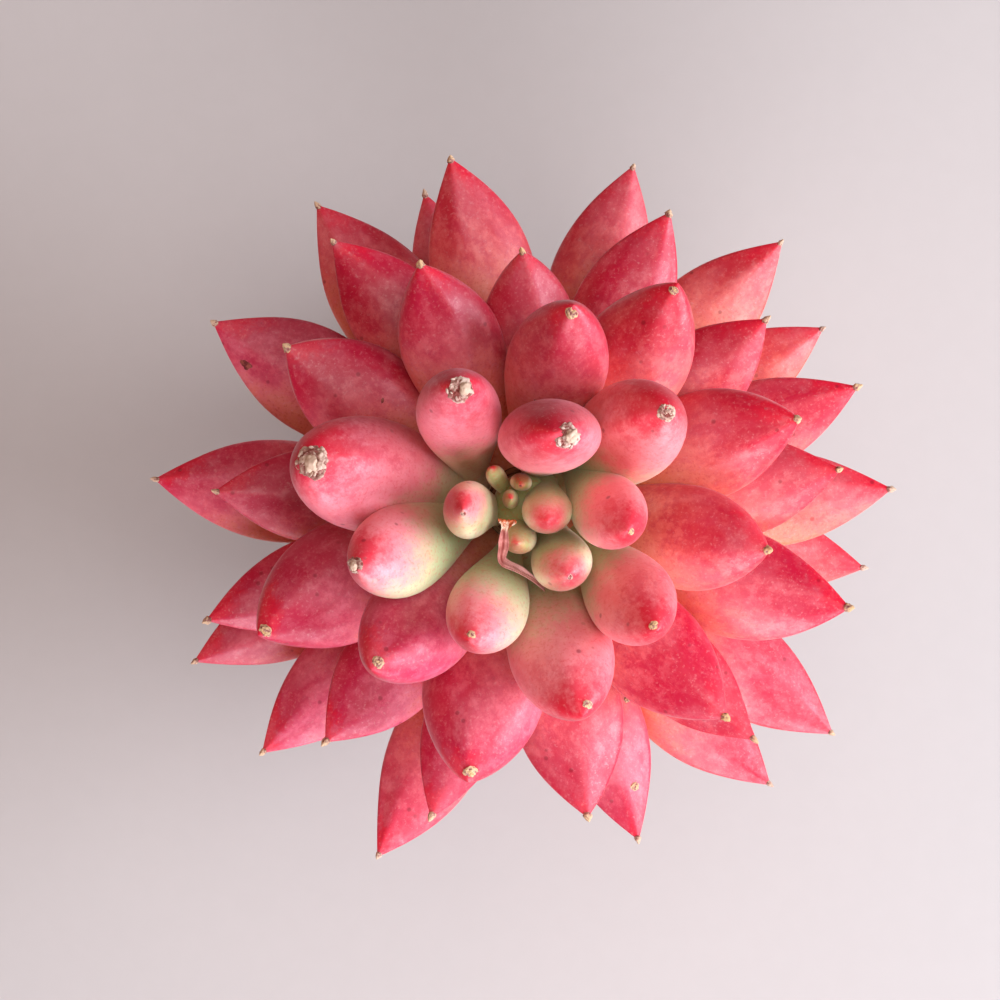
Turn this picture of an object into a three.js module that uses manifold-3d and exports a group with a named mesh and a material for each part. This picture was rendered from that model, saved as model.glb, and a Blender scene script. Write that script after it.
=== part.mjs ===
// Corn-poppy echeveria in a small round clay pot: a rosette of fleshy red leaves on a short stem,
// pale young leaves in its heart and the dried remnant of a flower stalk.
// Millimetres, +Z up, origin at the centre of the pot's underside.

import * as THREE from 'three';
import { mergeVertices } from 'three/addons/utils/BufferGeometryUtils.js';
import Module from 'manifold-3d';

const wasm = await Module();
wasm.setup();

// pot
const POT_HEIGHT = 50;
const POT_RIM_RADIUS = 28.5;
const POT_RIM_BAND = 10;
const POT_SHOULDER_RADIUS = 27;
const POT_BASE_RADIUS = 20.5;
const POT_WALL = 2.6;
const POT_FLOOR = 4;
const POT_EDGE = 0.8;
const POT_SIDES = 48;
const DRAIN_HOLES = 3;
const DRAIN_HOLE_RADIUS = 2.6;
const DRAIN_CIRCLE_RADIUS = 10;

// potting mix
const SOIL_TOP = 45;
const SOIL_MOUND = 1.6;
const SOIL_RELIEF = 0.5;
const SOIL_SIDES = 36;
const SEAT_GAP = 0.3;

// stem
const STEM_FOOT = 31;
const STEM_RADIUS = 3.8;
const STEM_CROWN_RADIUS = 4.7;
const STEM_TOP = 82;
const STEM_SIDES = 16;

// leaves
const LEAF_SIDES = 8;
const LEAF_ROOT_RADIUS = 4.5;
const LEAF_WIDEST_AT = 0.6;
const LEAF_THICKNESS = 0.72;
const LEAF_BEND = 0.1;
const LEAF_STATIONS = [-0.08, -0.04, 0.14, 0.3, 0.45, 0.6, 0.753, 0.883, 0.97, 1];
const CROWN_LOW = 59;
const CROWN_CLIMB = 15.5;

// Leaves of the spreading whorls, from the lowest on the stem to the highest:
// azimuth in degrees, reach of the tip from the stem's axis, rise of the tip above the root,
// widest width, bluntness of the tip from 0 to 1, sideways sweep.
const WHORL_LEAVES = [
  [107.5, 40.4, -3, 10, 0, 0],
  [349.5, 43.2, -4.5, 10.5, 0, 0],
  [311.5, 46.1, -2.5, 12, 0, -1.6],
  [30.5, 42.9, -2, 11, 0, 0],
  [205.5, 44.7, -1.5, 10.8, 0, 0],
  [247.5, 46.5, -0.5, 12, 0, 2],
  [176, 44.7, 2, 12.4, 0, 0.4],
  [223.5, 43.3, 3.5, 11.6, 0, 0],
  [289, 42.9, 1, 11, 0, 0],
  [2.5, 44.6, 1, 11.6, 0, -0.6],
  [124.5, 44.3, -1.5, 12.8, 0, -0.3],
  [45.5, 44.4, 2, 11.8, 0, 0.2],
  [72, 43.2, -0.5, 11.6, 0, -0.2],
  [323.5, 46.6, -0.5, 12.2, 0, 0],
  [149.5, 43, 3, 12.8, 0, -0.2],
  [102, 42.1, 4.5, 12.4, 0, -1.2],
  [200, 40.1, 4, 10.5, 0, 0],
  [19.5, 42.5, 1, 11, 0, -0.5],
  [253.5, 38.7, 2.5, 10, 0.2, 0.8],
  [177.5, 36.1, 8, 11, 0, 0],
  [314.5, 38.5, 6.5, 10.5, 0, -0.8],
  [63.5, 38.4, 5.5, 11.2, 0, 0],
  [6.5, 37, 8, 11.8, 0, -0.8],
  [230, 36.2, 5.5, 12, 0, 0.4],
  [126, 38.1, 6, 11.4, 0, -1.2],
  [281.5, 37.1, 6, 12.8, 0.1, 0.3],
  [37.5, 35.6, 5.5, 11.2, 0.1, -0.8],
  [342.5, 39.2, 9, 12.8, 0.1, -1.4],
  [146.5, 32.6, 11.5, 12.8, 0.2, 0.1],
  [206, 33.5, 13, 14, 0.4, -1.3],
  [90.5, 28.9, 11, 11.2, 0.3, -0.8],
  [313.5, 33.2, 11.5, 12.2, 0.1, -0.8],
  [17.5, 32.4, 13, 12.6, 0.2, 0.4],
  [258.5, 31.8, 12.5, 14.2, 0.5, -0.3],
  [113.5, 29.5, 14.5, 11.8, 0, 0.3],
  [55.5, 30.1, 14, 12.6, 0.4, -0.9],
  [349.5, 27.6, 14.5, 12.1, 0.3, -0.2],
  [226.5, 24.6, 19, 12.4, 0.6, 0.5],
  [76.5, 22.4, 20.5, 11.4, 0.5, 0.2],
  [169, 25, 19.5, 13, 1, 0],
  [285, 23.7, 20, 11.8, 0.5, -0.4],
  [35, 18.6, 23.5, 11.2, 0.8, 0],
];

// Upright leaves: azimuth, reach, tip height, width, bluntness, sweep,
// then the root's azimuth, reach and height.
const UPRIGHT_LEAVES = [
  [201, 19.3, 97, 10.2, 0.7, 0, 191, 5.2, 76.5],
  [120, 14.9, 100, 9.4, 0.8, 0.4, 152, 6.3, 77],
  [316, 19.4, 97, 9.8, 0.6, 0, 333, 7.6, 77.5],
  [247, 15.7, 97, 9, 0.7, 0.6, 250, 4.8, 79],
  [346.5, 11.1, 99, 8.2, 0.7, 0, 39, 6.7, 79.5],
];

// One leaf stands almost on end over the heart, with its broad side turned.
const STANDING_LEAF = [67, 7.8, 104, 10.9, 0.8, 0.3, 64, 4, 79];
const STANDING_LEAF_ROLL = 25;
const STANDING_LEAF_THICKNESS = 0.69;

// Young leaves and buds of the heart, in the same terms as the upright leaves.
const HEART_LEAVES = [
  [300.5, 8.8, 94, 6.8, 0.7, 0, 316, 4, 81],
  [186.5, 6.8, 96, 6, 0.7, 0, 183, 4.1, 81],
  [258.5, 4.2, 92, 4, 0.7, 0, 262, 1.5, 82],
  [339, 2.6, 94, 5.4, 0.7, 0, 35, 2.7, 82],
  [131, 5.5, 90, 2.4, 0.7, 0, 117, 3.2, 82.5],
  [106.5, 2.5, 90, 2.4, 0.9, 0, 104, 2.2, 83],
  [156, 1.7, 89.5, 2, 0.8, 0, 140, 1.3, 83],
];
const GROWING_TIP_RADIUS = 3.6;
const GROWING_TIP_HEIGHT = 82.6;

// dried remnant of the flower stalk
const STALK_WIDTH = 1.6;
const STALK_THICKNESS = 0.7;
const STALK_STEPS = 12;
const STALK_POINTS = [
  [2.2, -9.2, 83.5],
  [1.2, -8.2, 87],
  [-2.1, -6.3, 89.6],
  [-2.7, -4.2, 92],
  [-1.9, -1.6, 95],
];

const terracotta = new THREE.MeshStandardMaterial({ color: 0xb5694a, roughness: 0.85 });
const pottingMix = new THREE.MeshStandardMaterial({ color: 0x3b2d23, roughness: 0.95 });
const redFlesh = new THREE.MeshStandardMaterial({ color: 0xd4566a, roughness: 0.5 });
const paleFlesh = new THREE.MeshStandardMaterial({ color: 0xd9b69a, roughness: 0.5 });
const driedStalk = new THREE.MeshStandardMaterial({ color: 0xc98768, roughness: 0.8 });

function weld(geometry) {
  geometry.deleteAttribute('normal');
  geometry.deleteAttribute('uv');
  return mergeVertices(geometry, 1e-4);
}

function solidOf(geometry) {
  const welded = weld(geometry);
  const mesh = new wasm.Mesh({
    numProp: 3,
    vertProperties: new Float32Array(welded.attributes.position.array),
    triVerts: new Uint32Array(welded.index.array),
  });
  return new wasm.Manifold(mesh);
}

function geometryOf(solid) {
  const mesh = solid.getMesh();
  const geometry = new THREE.BufferGeometry();
  geometry.setAttribute('position', new THREE.BufferAttribute(mesh.vertProperties, 3));
  geometry.setIndex(new THREE.BufferAttribute(mesh.triVerts, 1));
  geometry.computeVertexNormals();
  return geometry;
}

function largestPiece(solid) {
  const pieces = solid.decompose();
  return pieces.reduce((best, piece) => (piece.volume() > best.volume() ? piece : best));
}

function turned(points, sides) {
  const profile = points.map(([radius, height]) => new THREE.Vector2(radius, height));
  return new THREE.LatheGeometry(profile, sides).rotateX(Math.PI / 2);
}

function polar(azimuth, reach, height) {
  const angle = THREE.MathUtils.degToRad(azimuth);
  return new THREE.Vector3(reach * Math.cos(angle), reach * Math.sin(angle), height);
}

// Half width of a leaf as a share of its widest, for a station along it from root 0 to tip 1.
function leafProfile(station, blunt, base) {
  if (station < LEAF_WIDEST_AT) {
    const along = Math.max(station, 0) / LEAF_WIDEST_AT;
    return base + (1 - base) * Math.sin((Math.PI / 2) * along) ** 1.3;
  }
  const along = (station - LEAF_WIDEST_AT) / (1 - LEAF_WIDEST_AT);
  return Math.max(1 - along ** 2, 0) ** (1.05 - 0.52 * blunt);
}

// A fleshy leaf: a sphere's rings set along a bent spine, flatter above than below.
function leafGeometry(leaf, grow = 0) {
  const { root, tip, width, blunt, sweep, base, thickness, roll } = leaf;
  const axis = tip.clone().sub(root);
  const length = axis.length();
  axis.normalize();
  const side = new THREE.Vector3(0, 0, 1).cross(axis).normalize();
  const up = axis.clone().cross(side);
  const middle = root.clone().add(tip).multiplyScalar(0.5);
  middle.addScaledVector(up, -LEAF_BEND * length).addScaledVector(side, 2 * sweep);
  const spine = new THREE.QuadraticBezierCurve3(root, middle, tip);
  up.applyAxisAngle(axis, THREE.MathUtils.degToRad(roll));

  const rings = LEAF_STATIONS.length - 1;
  const geometry = new THREE.SphereGeometry(1, LEAF_SIDES, rings);
  const position = geometry.attributes.position;
  for (let index = 0; index < position.count; index += 1) {
    const ring = Math.floor(index / (LEAF_SIDES + 1));
    const station = LEAF_STATIONS[ring];
    const turn = ((index % (LEAF_SIDES + 1)) / LEAF_SIDES) * 2 * Math.PI;
    const pole = ring === 0 || ring === rings;
    const forward = middle.clone().sub(root).multiplyScalar(1 - station);
    forward.addScaledVector(tip.clone().sub(middle), station).normalize();
    const ringUp = up.clone().addScaledVector(forward, -up.dot(forward)).normalize();
    const ringSide = ringUp.clone().cross(forward);
    const half = pole ? 0 : (leafProfile(station, blunt, base) * width) / 2 + grow;
    const rise = Math.sin(turn) * thickness * (Math.sin(turn) > 0 ? 0.92 : 1.08);
    const point = spine.getPoint(station);
    point.addScaledVector(ringSide, -half * Math.cos(turn)).addScaledVector(ringUp, half * rise);
    if (pole) {
      point.addScaledVector(forward, ring === 0 ? -grow : grow);
    }
    position.setXYZ(index, point.x, point.y, point.z);
  }
  return geometry;
}

// Roots of the whorls climb the stem in order, each on the side that its leaf points to.
function whorlLeaf([azimuth, reach, rise, width, blunt, sweep], order) {
  const climb = (order / (WHORL_LEAVES.length - 1)) ** 1.05;
  const rootHeight = CROWN_LOW + CROWN_CLIMB * climb;
  return {
    root: polar(azimuth, LEAF_ROOT_RADIUS, rootHeight),
    tip: polar(azimuth, reach, rootHeight + rise),
    width,
    blunt,
    sweep,
    base: 0.38,
    thickness: LEAF_THICKNESS + 0.1 * blunt,
    roll: 0,
  };
}

function uprightLeaf([azimuth, reach, height, width, blunt, sweep, rootAzimuth, rootReach, rootHeight]) {
  return {
    root: polar(rootAzimuth, rootReach, rootHeight),
    tip: polar(azimuth, reach, height),
    width,
    blunt,
    sweep,
    base: 0.3,
    thickness: LEAF_THICKNESS + 0.1 * blunt,
    roll: 0,
  };
}

function buildPot() {
  const rimInner = POT_RIM_RADIUS - POT_WALL - 0.3;
  const bandFoot = POT_HEIGHT - POT_RIM_BAND;
  const floorInner = POT_BASE_RADIUS - POT_WALL;
  const wall = turned([
    [0, 0],
    [POT_BASE_RADIUS - POT_EDGE, 0],
    [POT_BASE_RADIUS, POT_EDGE],
    [POT_SHOULDER_RADIUS, bandFoot],
    [POT_RIM_RADIUS - 0.3, bandFoot + 0.3],
    [POT_RIM_RADIUS, bandFoot + POT_EDGE],
    [POT_RIM_RADIUS, POT_HEIGHT - POT_EDGE],
    [POT_RIM_RADIUS - POT_EDGE, POT_HEIGHT],
    [rimInner + POT_EDGE, POT_HEIGHT],
    [rimInner, POT_HEIGHT - POT_EDGE],
    [rimInner - 0.7, bandFoot],
    [floorInner + 0.8, POT_FLOOR + 1.2],
    [floorInner - 0.8, POT_FLOOR],
    [0, POT_FLOOR],
  ], POT_SIDES);
  let pot = solidOf(wall);
  for (let hole = 0; hole < DRAIN_HOLES; hole += 1) {
    const drill = new THREE.CylinderGeometry(DRAIN_HOLE_RADIUS, DRAIN_HOLE_RADIUS, 4 * POT_FLOOR, 16);
    drill.rotateX(Math.PI / 2);
    const place = polar((360 * hole) / DRAIN_HOLES, DRAIN_CIRCLE_RADIUS, 0);
    drill.translate(place.x, place.y, place.z);
    pot = pot.subtract(solidOf(drill));
  }
  return geometryOf(pot);
}

// Radius of the pot's inside at a height, less the seating gap.
function soilRadius(height) {
  const floorInner = POT_BASE_RADIUS - POT_WALL + 0.8;
  const bandInner = POT_RIM_RADIUS - POT_WALL - 1;
  const share = (height - POT_FLOOR - 1.2) / (POT_HEIGHT - POT_RIM_BAND - POT_FLOOR - 1.2);
  return floorInner + (bandInner - floorInner) * Math.min(share, 1) - SEAT_GAP;
}

function buildSoil() {
  const bottom = POT_FLOOR + SEAT_GAP;
  const holeRadius = STEM_RADIUS + SEAT_GAP;
  const holeFloor = STEM_FOOT - SEAT_GAP;
  const edgeRadius = soilRadius(SOIL_TOP);
  const topRings = 6;
  const points = [
    [0, bottom],
    [soilRadius(POT_FLOOR + 1.2) - 2.2, bottom],
    [soilRadius(POT_FLOOR + 1.2) - 0.4, POT_FLOOR + 1.6],
    [soilRadius(POT_HEIGHT - POT_RIM_BAND), POT_HEIGHT - POT_RIM_BAND],
    [edgeRadius, SOIL_TOP - 1.2],
  ];
  for (let ring = 0; ring < topRings; ring += 1) {
    const share = ring / (topRings - 1);
    const radius = edgeRadius - 0.8 + (holeRadius - edgeRadius + 0.8) * share;
    points.push([radius, SOIL_TOP + SOIL_MOUND * share ** 1.5]);
  }
  points.push([holeRadius, holeFloor], [0, holeFloor]);
  const geometry = turned(points, SOIL_SIDES);
  const position = geometry.attributes.position;
  for (let index = 0; index < position.count; index += 1) {
    const x = position.getX(index);
    const y = position.getY(index);
    const z = position.getZ(index);
    const radius = Math.hypot(x, y);
    if (z > SOIL_TOP - 0.1 && radius > holeRadius + 0.5 && radius < edgeRadius - 0.5) {
      const lump = Math.sin(1.9 * x + 0.4) * Math.cos(1.6 * y) + Math.sin(0.9 * x - 1.3 * y);
      position.setZ(index, z + 0.5 * SOIL_RELIEF * lump);
    }
  }
  return geometryOf(solidOf(geometry));
}

function stemGeometry() {
  return turned([
    [0, STEM_FOOT],
    [STEM_RADIUS - 0.6, STEM_FOOT],
    [STEM_RADIUS, STEM_FOOT + 1],
    [STEM_RADIUS, SOIL_TOP + SOIL_MOUND + 1],
    [STEM_CROWN_RADIUS, CROWN_LOW - 4],
    [STEM_CROWN_RADIUS, CROWN_LOW + CROWN_CLIMB],
    [STEM_CROWN_RADIUS - 1.4, STEM_TOP - 1],
    [0, STEM_TOP],
  ], STEM_SIDES);
}

function stalkGeometry(grow = 0) {
  const points = STALK_POINTS.map(([x, y, z]) => new THREE.Vector3(x, y, z));
  const path = new THREE.CatmullRomCurve3(points);
  const shape = new THREE.Shape();
  shape.absellipse(0, 0, STALK_THICKNESS / 2 + grow, STALK_WIDTH / 2 + grow, 0, 2 * Math.PI);
  return new THREE.ExtrudeGeometry(shape, { steps: STALK_STEPS, curveSegments: 4, extrudePath: path });
}

function heartSolid(grow = 0) {
  const growingTip = new THREE.SphereGeometry(GROWING_TIP_RADIUS + grow, 12, 8);
  growingTip.translate(0, 0, GROWING_TIP_HEIGHT);
  const leaves = HEART_LEAVES.map(uprightLeaf).map((leaf) => solidOf(leafGeometry(leaf, grow)));
  return wasm.Manifold.union([solidOf(growingTip), ...leaves]);
}

function rosetteSolid() {
  const standing = uprightLeaf(STANDING_LEAF);
  standing.roll = STANDING_LEAF_ROLL;
  standing.thickness = STANDING_LEAF_THICKNESS;
  const leaves = [...WHORL_LEAVES.map(whorlLeaf), ...UPRIGHT_LEAVES.map(uprightLeaf), standing];
  const solids = leaves.map((leaf) => solidOf(leafGeometry(leaf)));
  return wasm.Manifold.union([solidOf(stemGeometry()), ...solids]);
}

function buildPlant() {
  const stalkSpace = solidOf(stalkGeometry(SEAT_GAP));
  const heart = largestPiece(heartSolid().subtract(stalkSpace));
  const rosette = largestPiece(rosetteSolid().subtract(heartSolid(SEAT_GAP)).subtract(stalkSpace));
  return {
    rosette: geometryOf(rosette),
    heart: geometryOf(heart),
    stalk: geometryOf(solidOf(stalkGeometry())),
  };
}

function named(name, geometry, material) {
  const mesh = new THREE.Mesh(geometry, material);
  mesh.name = name;
  return mesh;
}

const plant = buildPlant();
const pottedEcheveria = new THREE.Group();
pottedEcheveria.add(
  named('pot', buildPot(), terracotta),
  named('soil', buildSoil(), pottingMix),
  named('rosette', plant.rosette, redFlesh),
  named('heart_leaves', plant.heart, paleFlesh),
  named('dried_flower_stalk', plant.stalk, driedStalk),
);

export default pottedEcheveria;
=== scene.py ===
"""Looks of a corn-poppy echeveria in a small clay pot.

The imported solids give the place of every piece. This script swaps them for finer
pieces in the same places, gives each its finish, and sets the camera and the light.
Sizes are in millimetres until a mesh is written, and then in metres.
"""

import logging
import math
import random
from dataclasses import dataclass, field, replace
from enum import Enum

import bmesh
import bpy
from mathutils import Matrix, Vector, noise

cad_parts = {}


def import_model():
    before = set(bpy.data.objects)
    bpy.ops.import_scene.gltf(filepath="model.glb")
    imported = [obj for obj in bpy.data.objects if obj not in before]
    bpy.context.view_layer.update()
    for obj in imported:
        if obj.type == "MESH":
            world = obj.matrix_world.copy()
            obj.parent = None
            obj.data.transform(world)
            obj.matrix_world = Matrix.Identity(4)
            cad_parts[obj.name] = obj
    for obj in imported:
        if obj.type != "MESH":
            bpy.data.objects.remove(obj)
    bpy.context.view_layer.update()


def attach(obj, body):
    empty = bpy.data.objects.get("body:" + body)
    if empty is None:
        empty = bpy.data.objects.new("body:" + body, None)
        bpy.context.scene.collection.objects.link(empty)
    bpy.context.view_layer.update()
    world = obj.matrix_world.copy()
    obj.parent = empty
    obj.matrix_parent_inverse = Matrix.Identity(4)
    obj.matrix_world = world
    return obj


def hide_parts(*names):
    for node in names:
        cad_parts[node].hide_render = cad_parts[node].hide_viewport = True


Colour = tuple[float, float, float, float]
Material = bpy.types.Material
Mesh = bmesh.types.BMesh
Socket = bpy.types.NodeSocket
Value = Socket | float | Colour

LOG = logging.getLogger("echeveria")
MM = 0.001

# pot and potting mix
POT_HEIGHT = 50.0
POT_RIM_RADIUS = 28.5
POT_RIM_BAND = 10.0
POT_SHOULDER_RADIUS = 27.0
POT_BASE_RADIUS = 20.5
POT_WALL = 2.6
POT_FLOOR = 4.0
POT_EDGE = 0.8
POT_EDGE_SOFTENING = 0.25
POT_RIM_TAPER = 0.3
DRAIN_HOLES = 3
DRAIN_HOLE_RADIUS = 2.6
DRAIN_CIRCLE_RADIUS = 10.0
SOIL_TOP = 45.0
SOIL_MOUND = 1.6
SOIL_SIDES = 120
SEAT_GAP = 0.3

# stem
STEM_FOOT = 31.0
STEM_RADIUS = 3.8
STEM_CROWN_RADIUS = 4.7
STEM_TOP = 82.0
STEM_RING_DEPTH = 0.25
STEM_SIDES = 48

# leaves
LEAF_ROOT_RADIUS = 4.5
LEAF_WIDEST_AT = 0.6
LEAF_THICKNESS = 0.72
LEAF_BEND = 0.1
LEAF_ROOT_SINK = 0.08
UPPER_FULLNESS = 0.92
LOWER_FULLNESS = 1.08
UNEVENNESS = 0.028
UPRIGHT_ROOT_WIDTH = 0.3
HEART_ROOT_WIDTH = 0.55
CROWN_LOW = 59.0
CROWN_CLIMB = 15.5

# pressed facets on the upper side of the spreading leaves: the angle of their corners above
# the margin, how wide a corner is, how far it bulges, and how far the face between them dips
FACET_ANGLE = 16.0
FACET_SPREAD = 0.22
FACET_BULGE = 0.1
FACET_LIFT = 2.2
FACET_DIP = 0.22

# crease along the upper side near the tip: how wide, how high, and the dip beside it
KEEL_SPREAD = 0.32
KEEL_RISE = 0.2
KEEL_DIP = 0.07

# how much further down the leaf the red comes on its side towards the back, away from the lamps: partly the
# leaf's own colour, partly painted shade
BACK_SIDE_RED_AND_SHADE = 0.19

# first seeds of the random draws
WHORL_SEED = 100
UPRIGHT_SEED = 300
TIP_SEED = 500
SCAR_SEED = 700
GRAIN_SEED = 41
HEART_ORDER = 60

# Leaves of the spreading whorls, from the lowest on the stem to the highest:
# azimuth in degrees, reach of the tip from the stem's axis, rise of the tip above the root,
# widest width, bluntness of the tip from 0 to 1, sideways sweep.
WHORL_LEAVES = (
    (107.5, 40.4, -3, 10, 0, 0),
    (349.5, 43.2, -4.5, 10.5, 0, 0),
    (311.5, 46.1, -2.5, 12, 0, -1.6),
    (30.5, 42.9, -2, 11, 0, 0),
    (205.5, 44.7, -1.5, 10.8, 0, 0),
    (247.5, 46.5, -0.5, 12, 0, 2),
    (176, 44.7, 2, 12.4, 0, 0.4),
    (223.5, 43.3, 3.5, 11.6, 0, 0),
    (289, 42.9, 1, 11, 0, 0),
    (2.5, 44.6, 1, 11.6, 0, -0.6),
    (124.5, 44.3, -1.5, 12.8, 0, -0.3),
    (45.5, 44.4, 2, 11.8, 0, 0.2),
    (72, 43.2, -0.5, 11.6, 0, -0.2),
    (323.5, 46.6, -0.5, 12.2, 0, 0),
    (149.5, 43, 3, 12.8, 0, -0.2),
    (102, 42.1, 4.5, 12.4, 0, -1.2),
    (200, 40.1, 4, 10.5, 0, 0),
    (19.5, 42.5, 1, 11, 0, -0.5),
    (253.5, 38.7, 2.5, 10, 0.2, 0.8),
    (177.5, 36.1, 8, 11, 0, 0),
    (314.5, 38.5, 6.5, 10.5, 0, -0.8),
    (63.5, 38.4, 5.5, 11.2, 0, 0),
    (6.5, 37, 8, 11.8, 0, -0.8),
    (230, 36.2, 5.5, 12, 0, 0.4),
    (126, 38.1, 6, 11.4, 0, -1.2),
    (281.5, 37.1, 6, 12.8, 0.1, 0.3),
    (37.5, 35.6, 5.5, 11.2, 0.1, -0.8),
    (342.5, 39.2, 9, 12.8, 0.1, -1.4),
    (146.5, 32.6, 11.5, 12.8, 0.2, 0.1),
    (206, 33.5, 13, 14, 0.4, -1.3),
    (90.5, 28.9, 11, 11.2, 0.3, -0.8),
    (313.5, 33.2, 11.5, 12.2, 0.1, -0.8),
    (17.5, 32.4, 13, 12.6, 0.2, 0.4),
    (258.5, 31.8, 12.5, 14.2, 0.5, -0.3),
    (113.5, 29.5, 14.5, 11.8, 0, 0.3),
    (55.5, 30.1, 14, 12.6, 0.4, -0.9),
    (349.5, 27.6, 14.5, 12.1, 0.3, -0.2),
    (226.5, 24.6, 19, 12.4, 0.6, 0.5),
    (76.5, 22.4, 20.5, 11.4, 0.5, 0.2),
    (169, 25, 19.5, 13, 1, 0),
    (285, 23.7, 20, 11.8, 0.5, -0.4),
    (35, 18.6, 23.5, 11.2, 0.8, 0),
)

# Upright leaves: azimuth, reach, tip height, width, bluntness, sweep,
# then the root's azimuth, reach and height.
UPRIGHT_LEAVES = (
    (201, 19.3, 97, 10.2, 0.7, 0, 191, 5.2, 76.5),
    (120, 14.9, 100, 9.4, 0.8, 0.4, 152, 6.3, 77),
    (316, 19.4, 97, 9.8, 0.6, 0, 333, 7.6, 77.5),
    (247, 15.7, 97, 9, 0.7, 0.6, 250, 4.8, 79),
    (346.5, 11.1, 99, 8.2, 0.7, 0, 39, 6.7, 79.5),
)

# For each of them: how young it is, which makes its root pale and green, and how red its tip is.
UPRIGHT_YOUTH = (0.8, 0.5, 0.65, 0.85, 0.8)
UPRIGHT_FLUSH = (0.3, 0.4, 0.6, 0.3, 0.6)

# One leaf stands almost on end over the heart, with its broad side turned.
STANDING_LEAF = (68, 8.2, 104, 11.2, 0.8, 0.3, 70, 4, 79)
STANDING_LEAF_YOUTH = 0.5
STANDING_LEAF_FLUSH = 0.5
STANDING_LEAF_ROLL = 25.0
STANDING_LEAF_THICKNESS = 0.69

# Young leaves and buds of the heart in the same terms, and then how young and how flushed each is; a youth
# from 1 upward also lays the painted shade of the deep heart.
HEART_LEAVES = (
    (300.5, 8.8, 94, 6.8, 0.7, 0, 316, 4, 81),
    (184, 6.8, 96, 6.4, 0.7, 0, 190, 3.6, 81),
    (258.5, 4.2, 92, 4, 0.7, 0, 262, 1.5, 82),
    (328, 2.9, 94, 5.6, 0.7, 0, 47, 3.2, 82),
    (133, 5.6, 89, 2.2, 0.7, 0, 145, 2.4, 83.5),
    (103, 2.3, 90, 2.5, 0.9, 0, 104, 2.2, 83),
    (156, 1.7, 89.5, 2.2, 0.8, 0, 140, 1.1, 83),
)
HEART_TONES = ((1.3, 0.35), (1.3, 0.15), (1.7, 0.15), (1.4, 0.45), (1.9, 0.3), (2.4, 0), (1.8, 0.05))
GROWING_TIP_RADIUS = 3.6
GROWING_TIP_HEIGHT = 82.6
GROWING_TIP_YOUTH = 2.1

# dried remnant of the flower stalk
STALK_WIDTH = 1.6
STALK_POINTS = (
    (2.3, -9.4, 83.5),
    (0.8, -8.1, 87),
    (-1, -7, 88.6),
    (-2.6, -6.1, 89.8),
    (-2.5, -4.4, 91.8),
    (-2.3, -2.7, 93.6),
    (-1.8, -1.2, 94.9),
)


def linear(code: str) -> Colour:
    """Turn a display colour written as six hex digits into linear light.

    Args:
        code: The colour, such as "d4566a".

    Returns:
        Red, green, blue and an alpha of 1.
    """
    parts = []
    for start in (0, 2, 4):
        value = int(code[start:start + 2], 16) / 255
        parts.append(value / 12.92 if value <= 0.04045 else ((value + 0.055) / 1.055) ** 2.4)
    return (parts[0], parts[1], parts[2], 1.0)


def polar(azimuth: float, reach: float, height: float) -> Vector:
    """Place a point by its direction round the stem's axis.

    Args:
        azimuth: Degrees from +X, anticlockwise seen from above.
        reach: Distance from the axis.
        height: Height above the pot's underside.

    Returns:
        The point in millimetres.
    """
    angle = math.radians(azimuth)
    return Vector((reach * math.cos(angle), reach * math.sin(angle), height))


def smoothstep(low: float, high: float, value: float) -> float:
    """Ease from 0 at low to 1 at high, either of which may be the larger."""
    share = min(max((value - low) / (high - low), 0.0), 1.0)
    return share * share * (3 - 2 * share)


def join(mesh: Mesh, part: Mesh) -> None:
    """Add a shaped part to a mesh, and free the part.

    Args:
        mesh: The mesh that grows.
        part: The part, with the same attributes.
    """
    data = bpy.data.meshes.new("part")
    part.to_mesh(data)
    part.free()
    mesh.from_mesh(data)
    bpy.data.meshes.remove(data)


class Step(Enum):
    """Steps of arithmetic between two patterns."""

    PLUS = "ADD"
    MINUS = "SUBTRACT"
    TIMES = "MULTIPLY"


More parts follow.
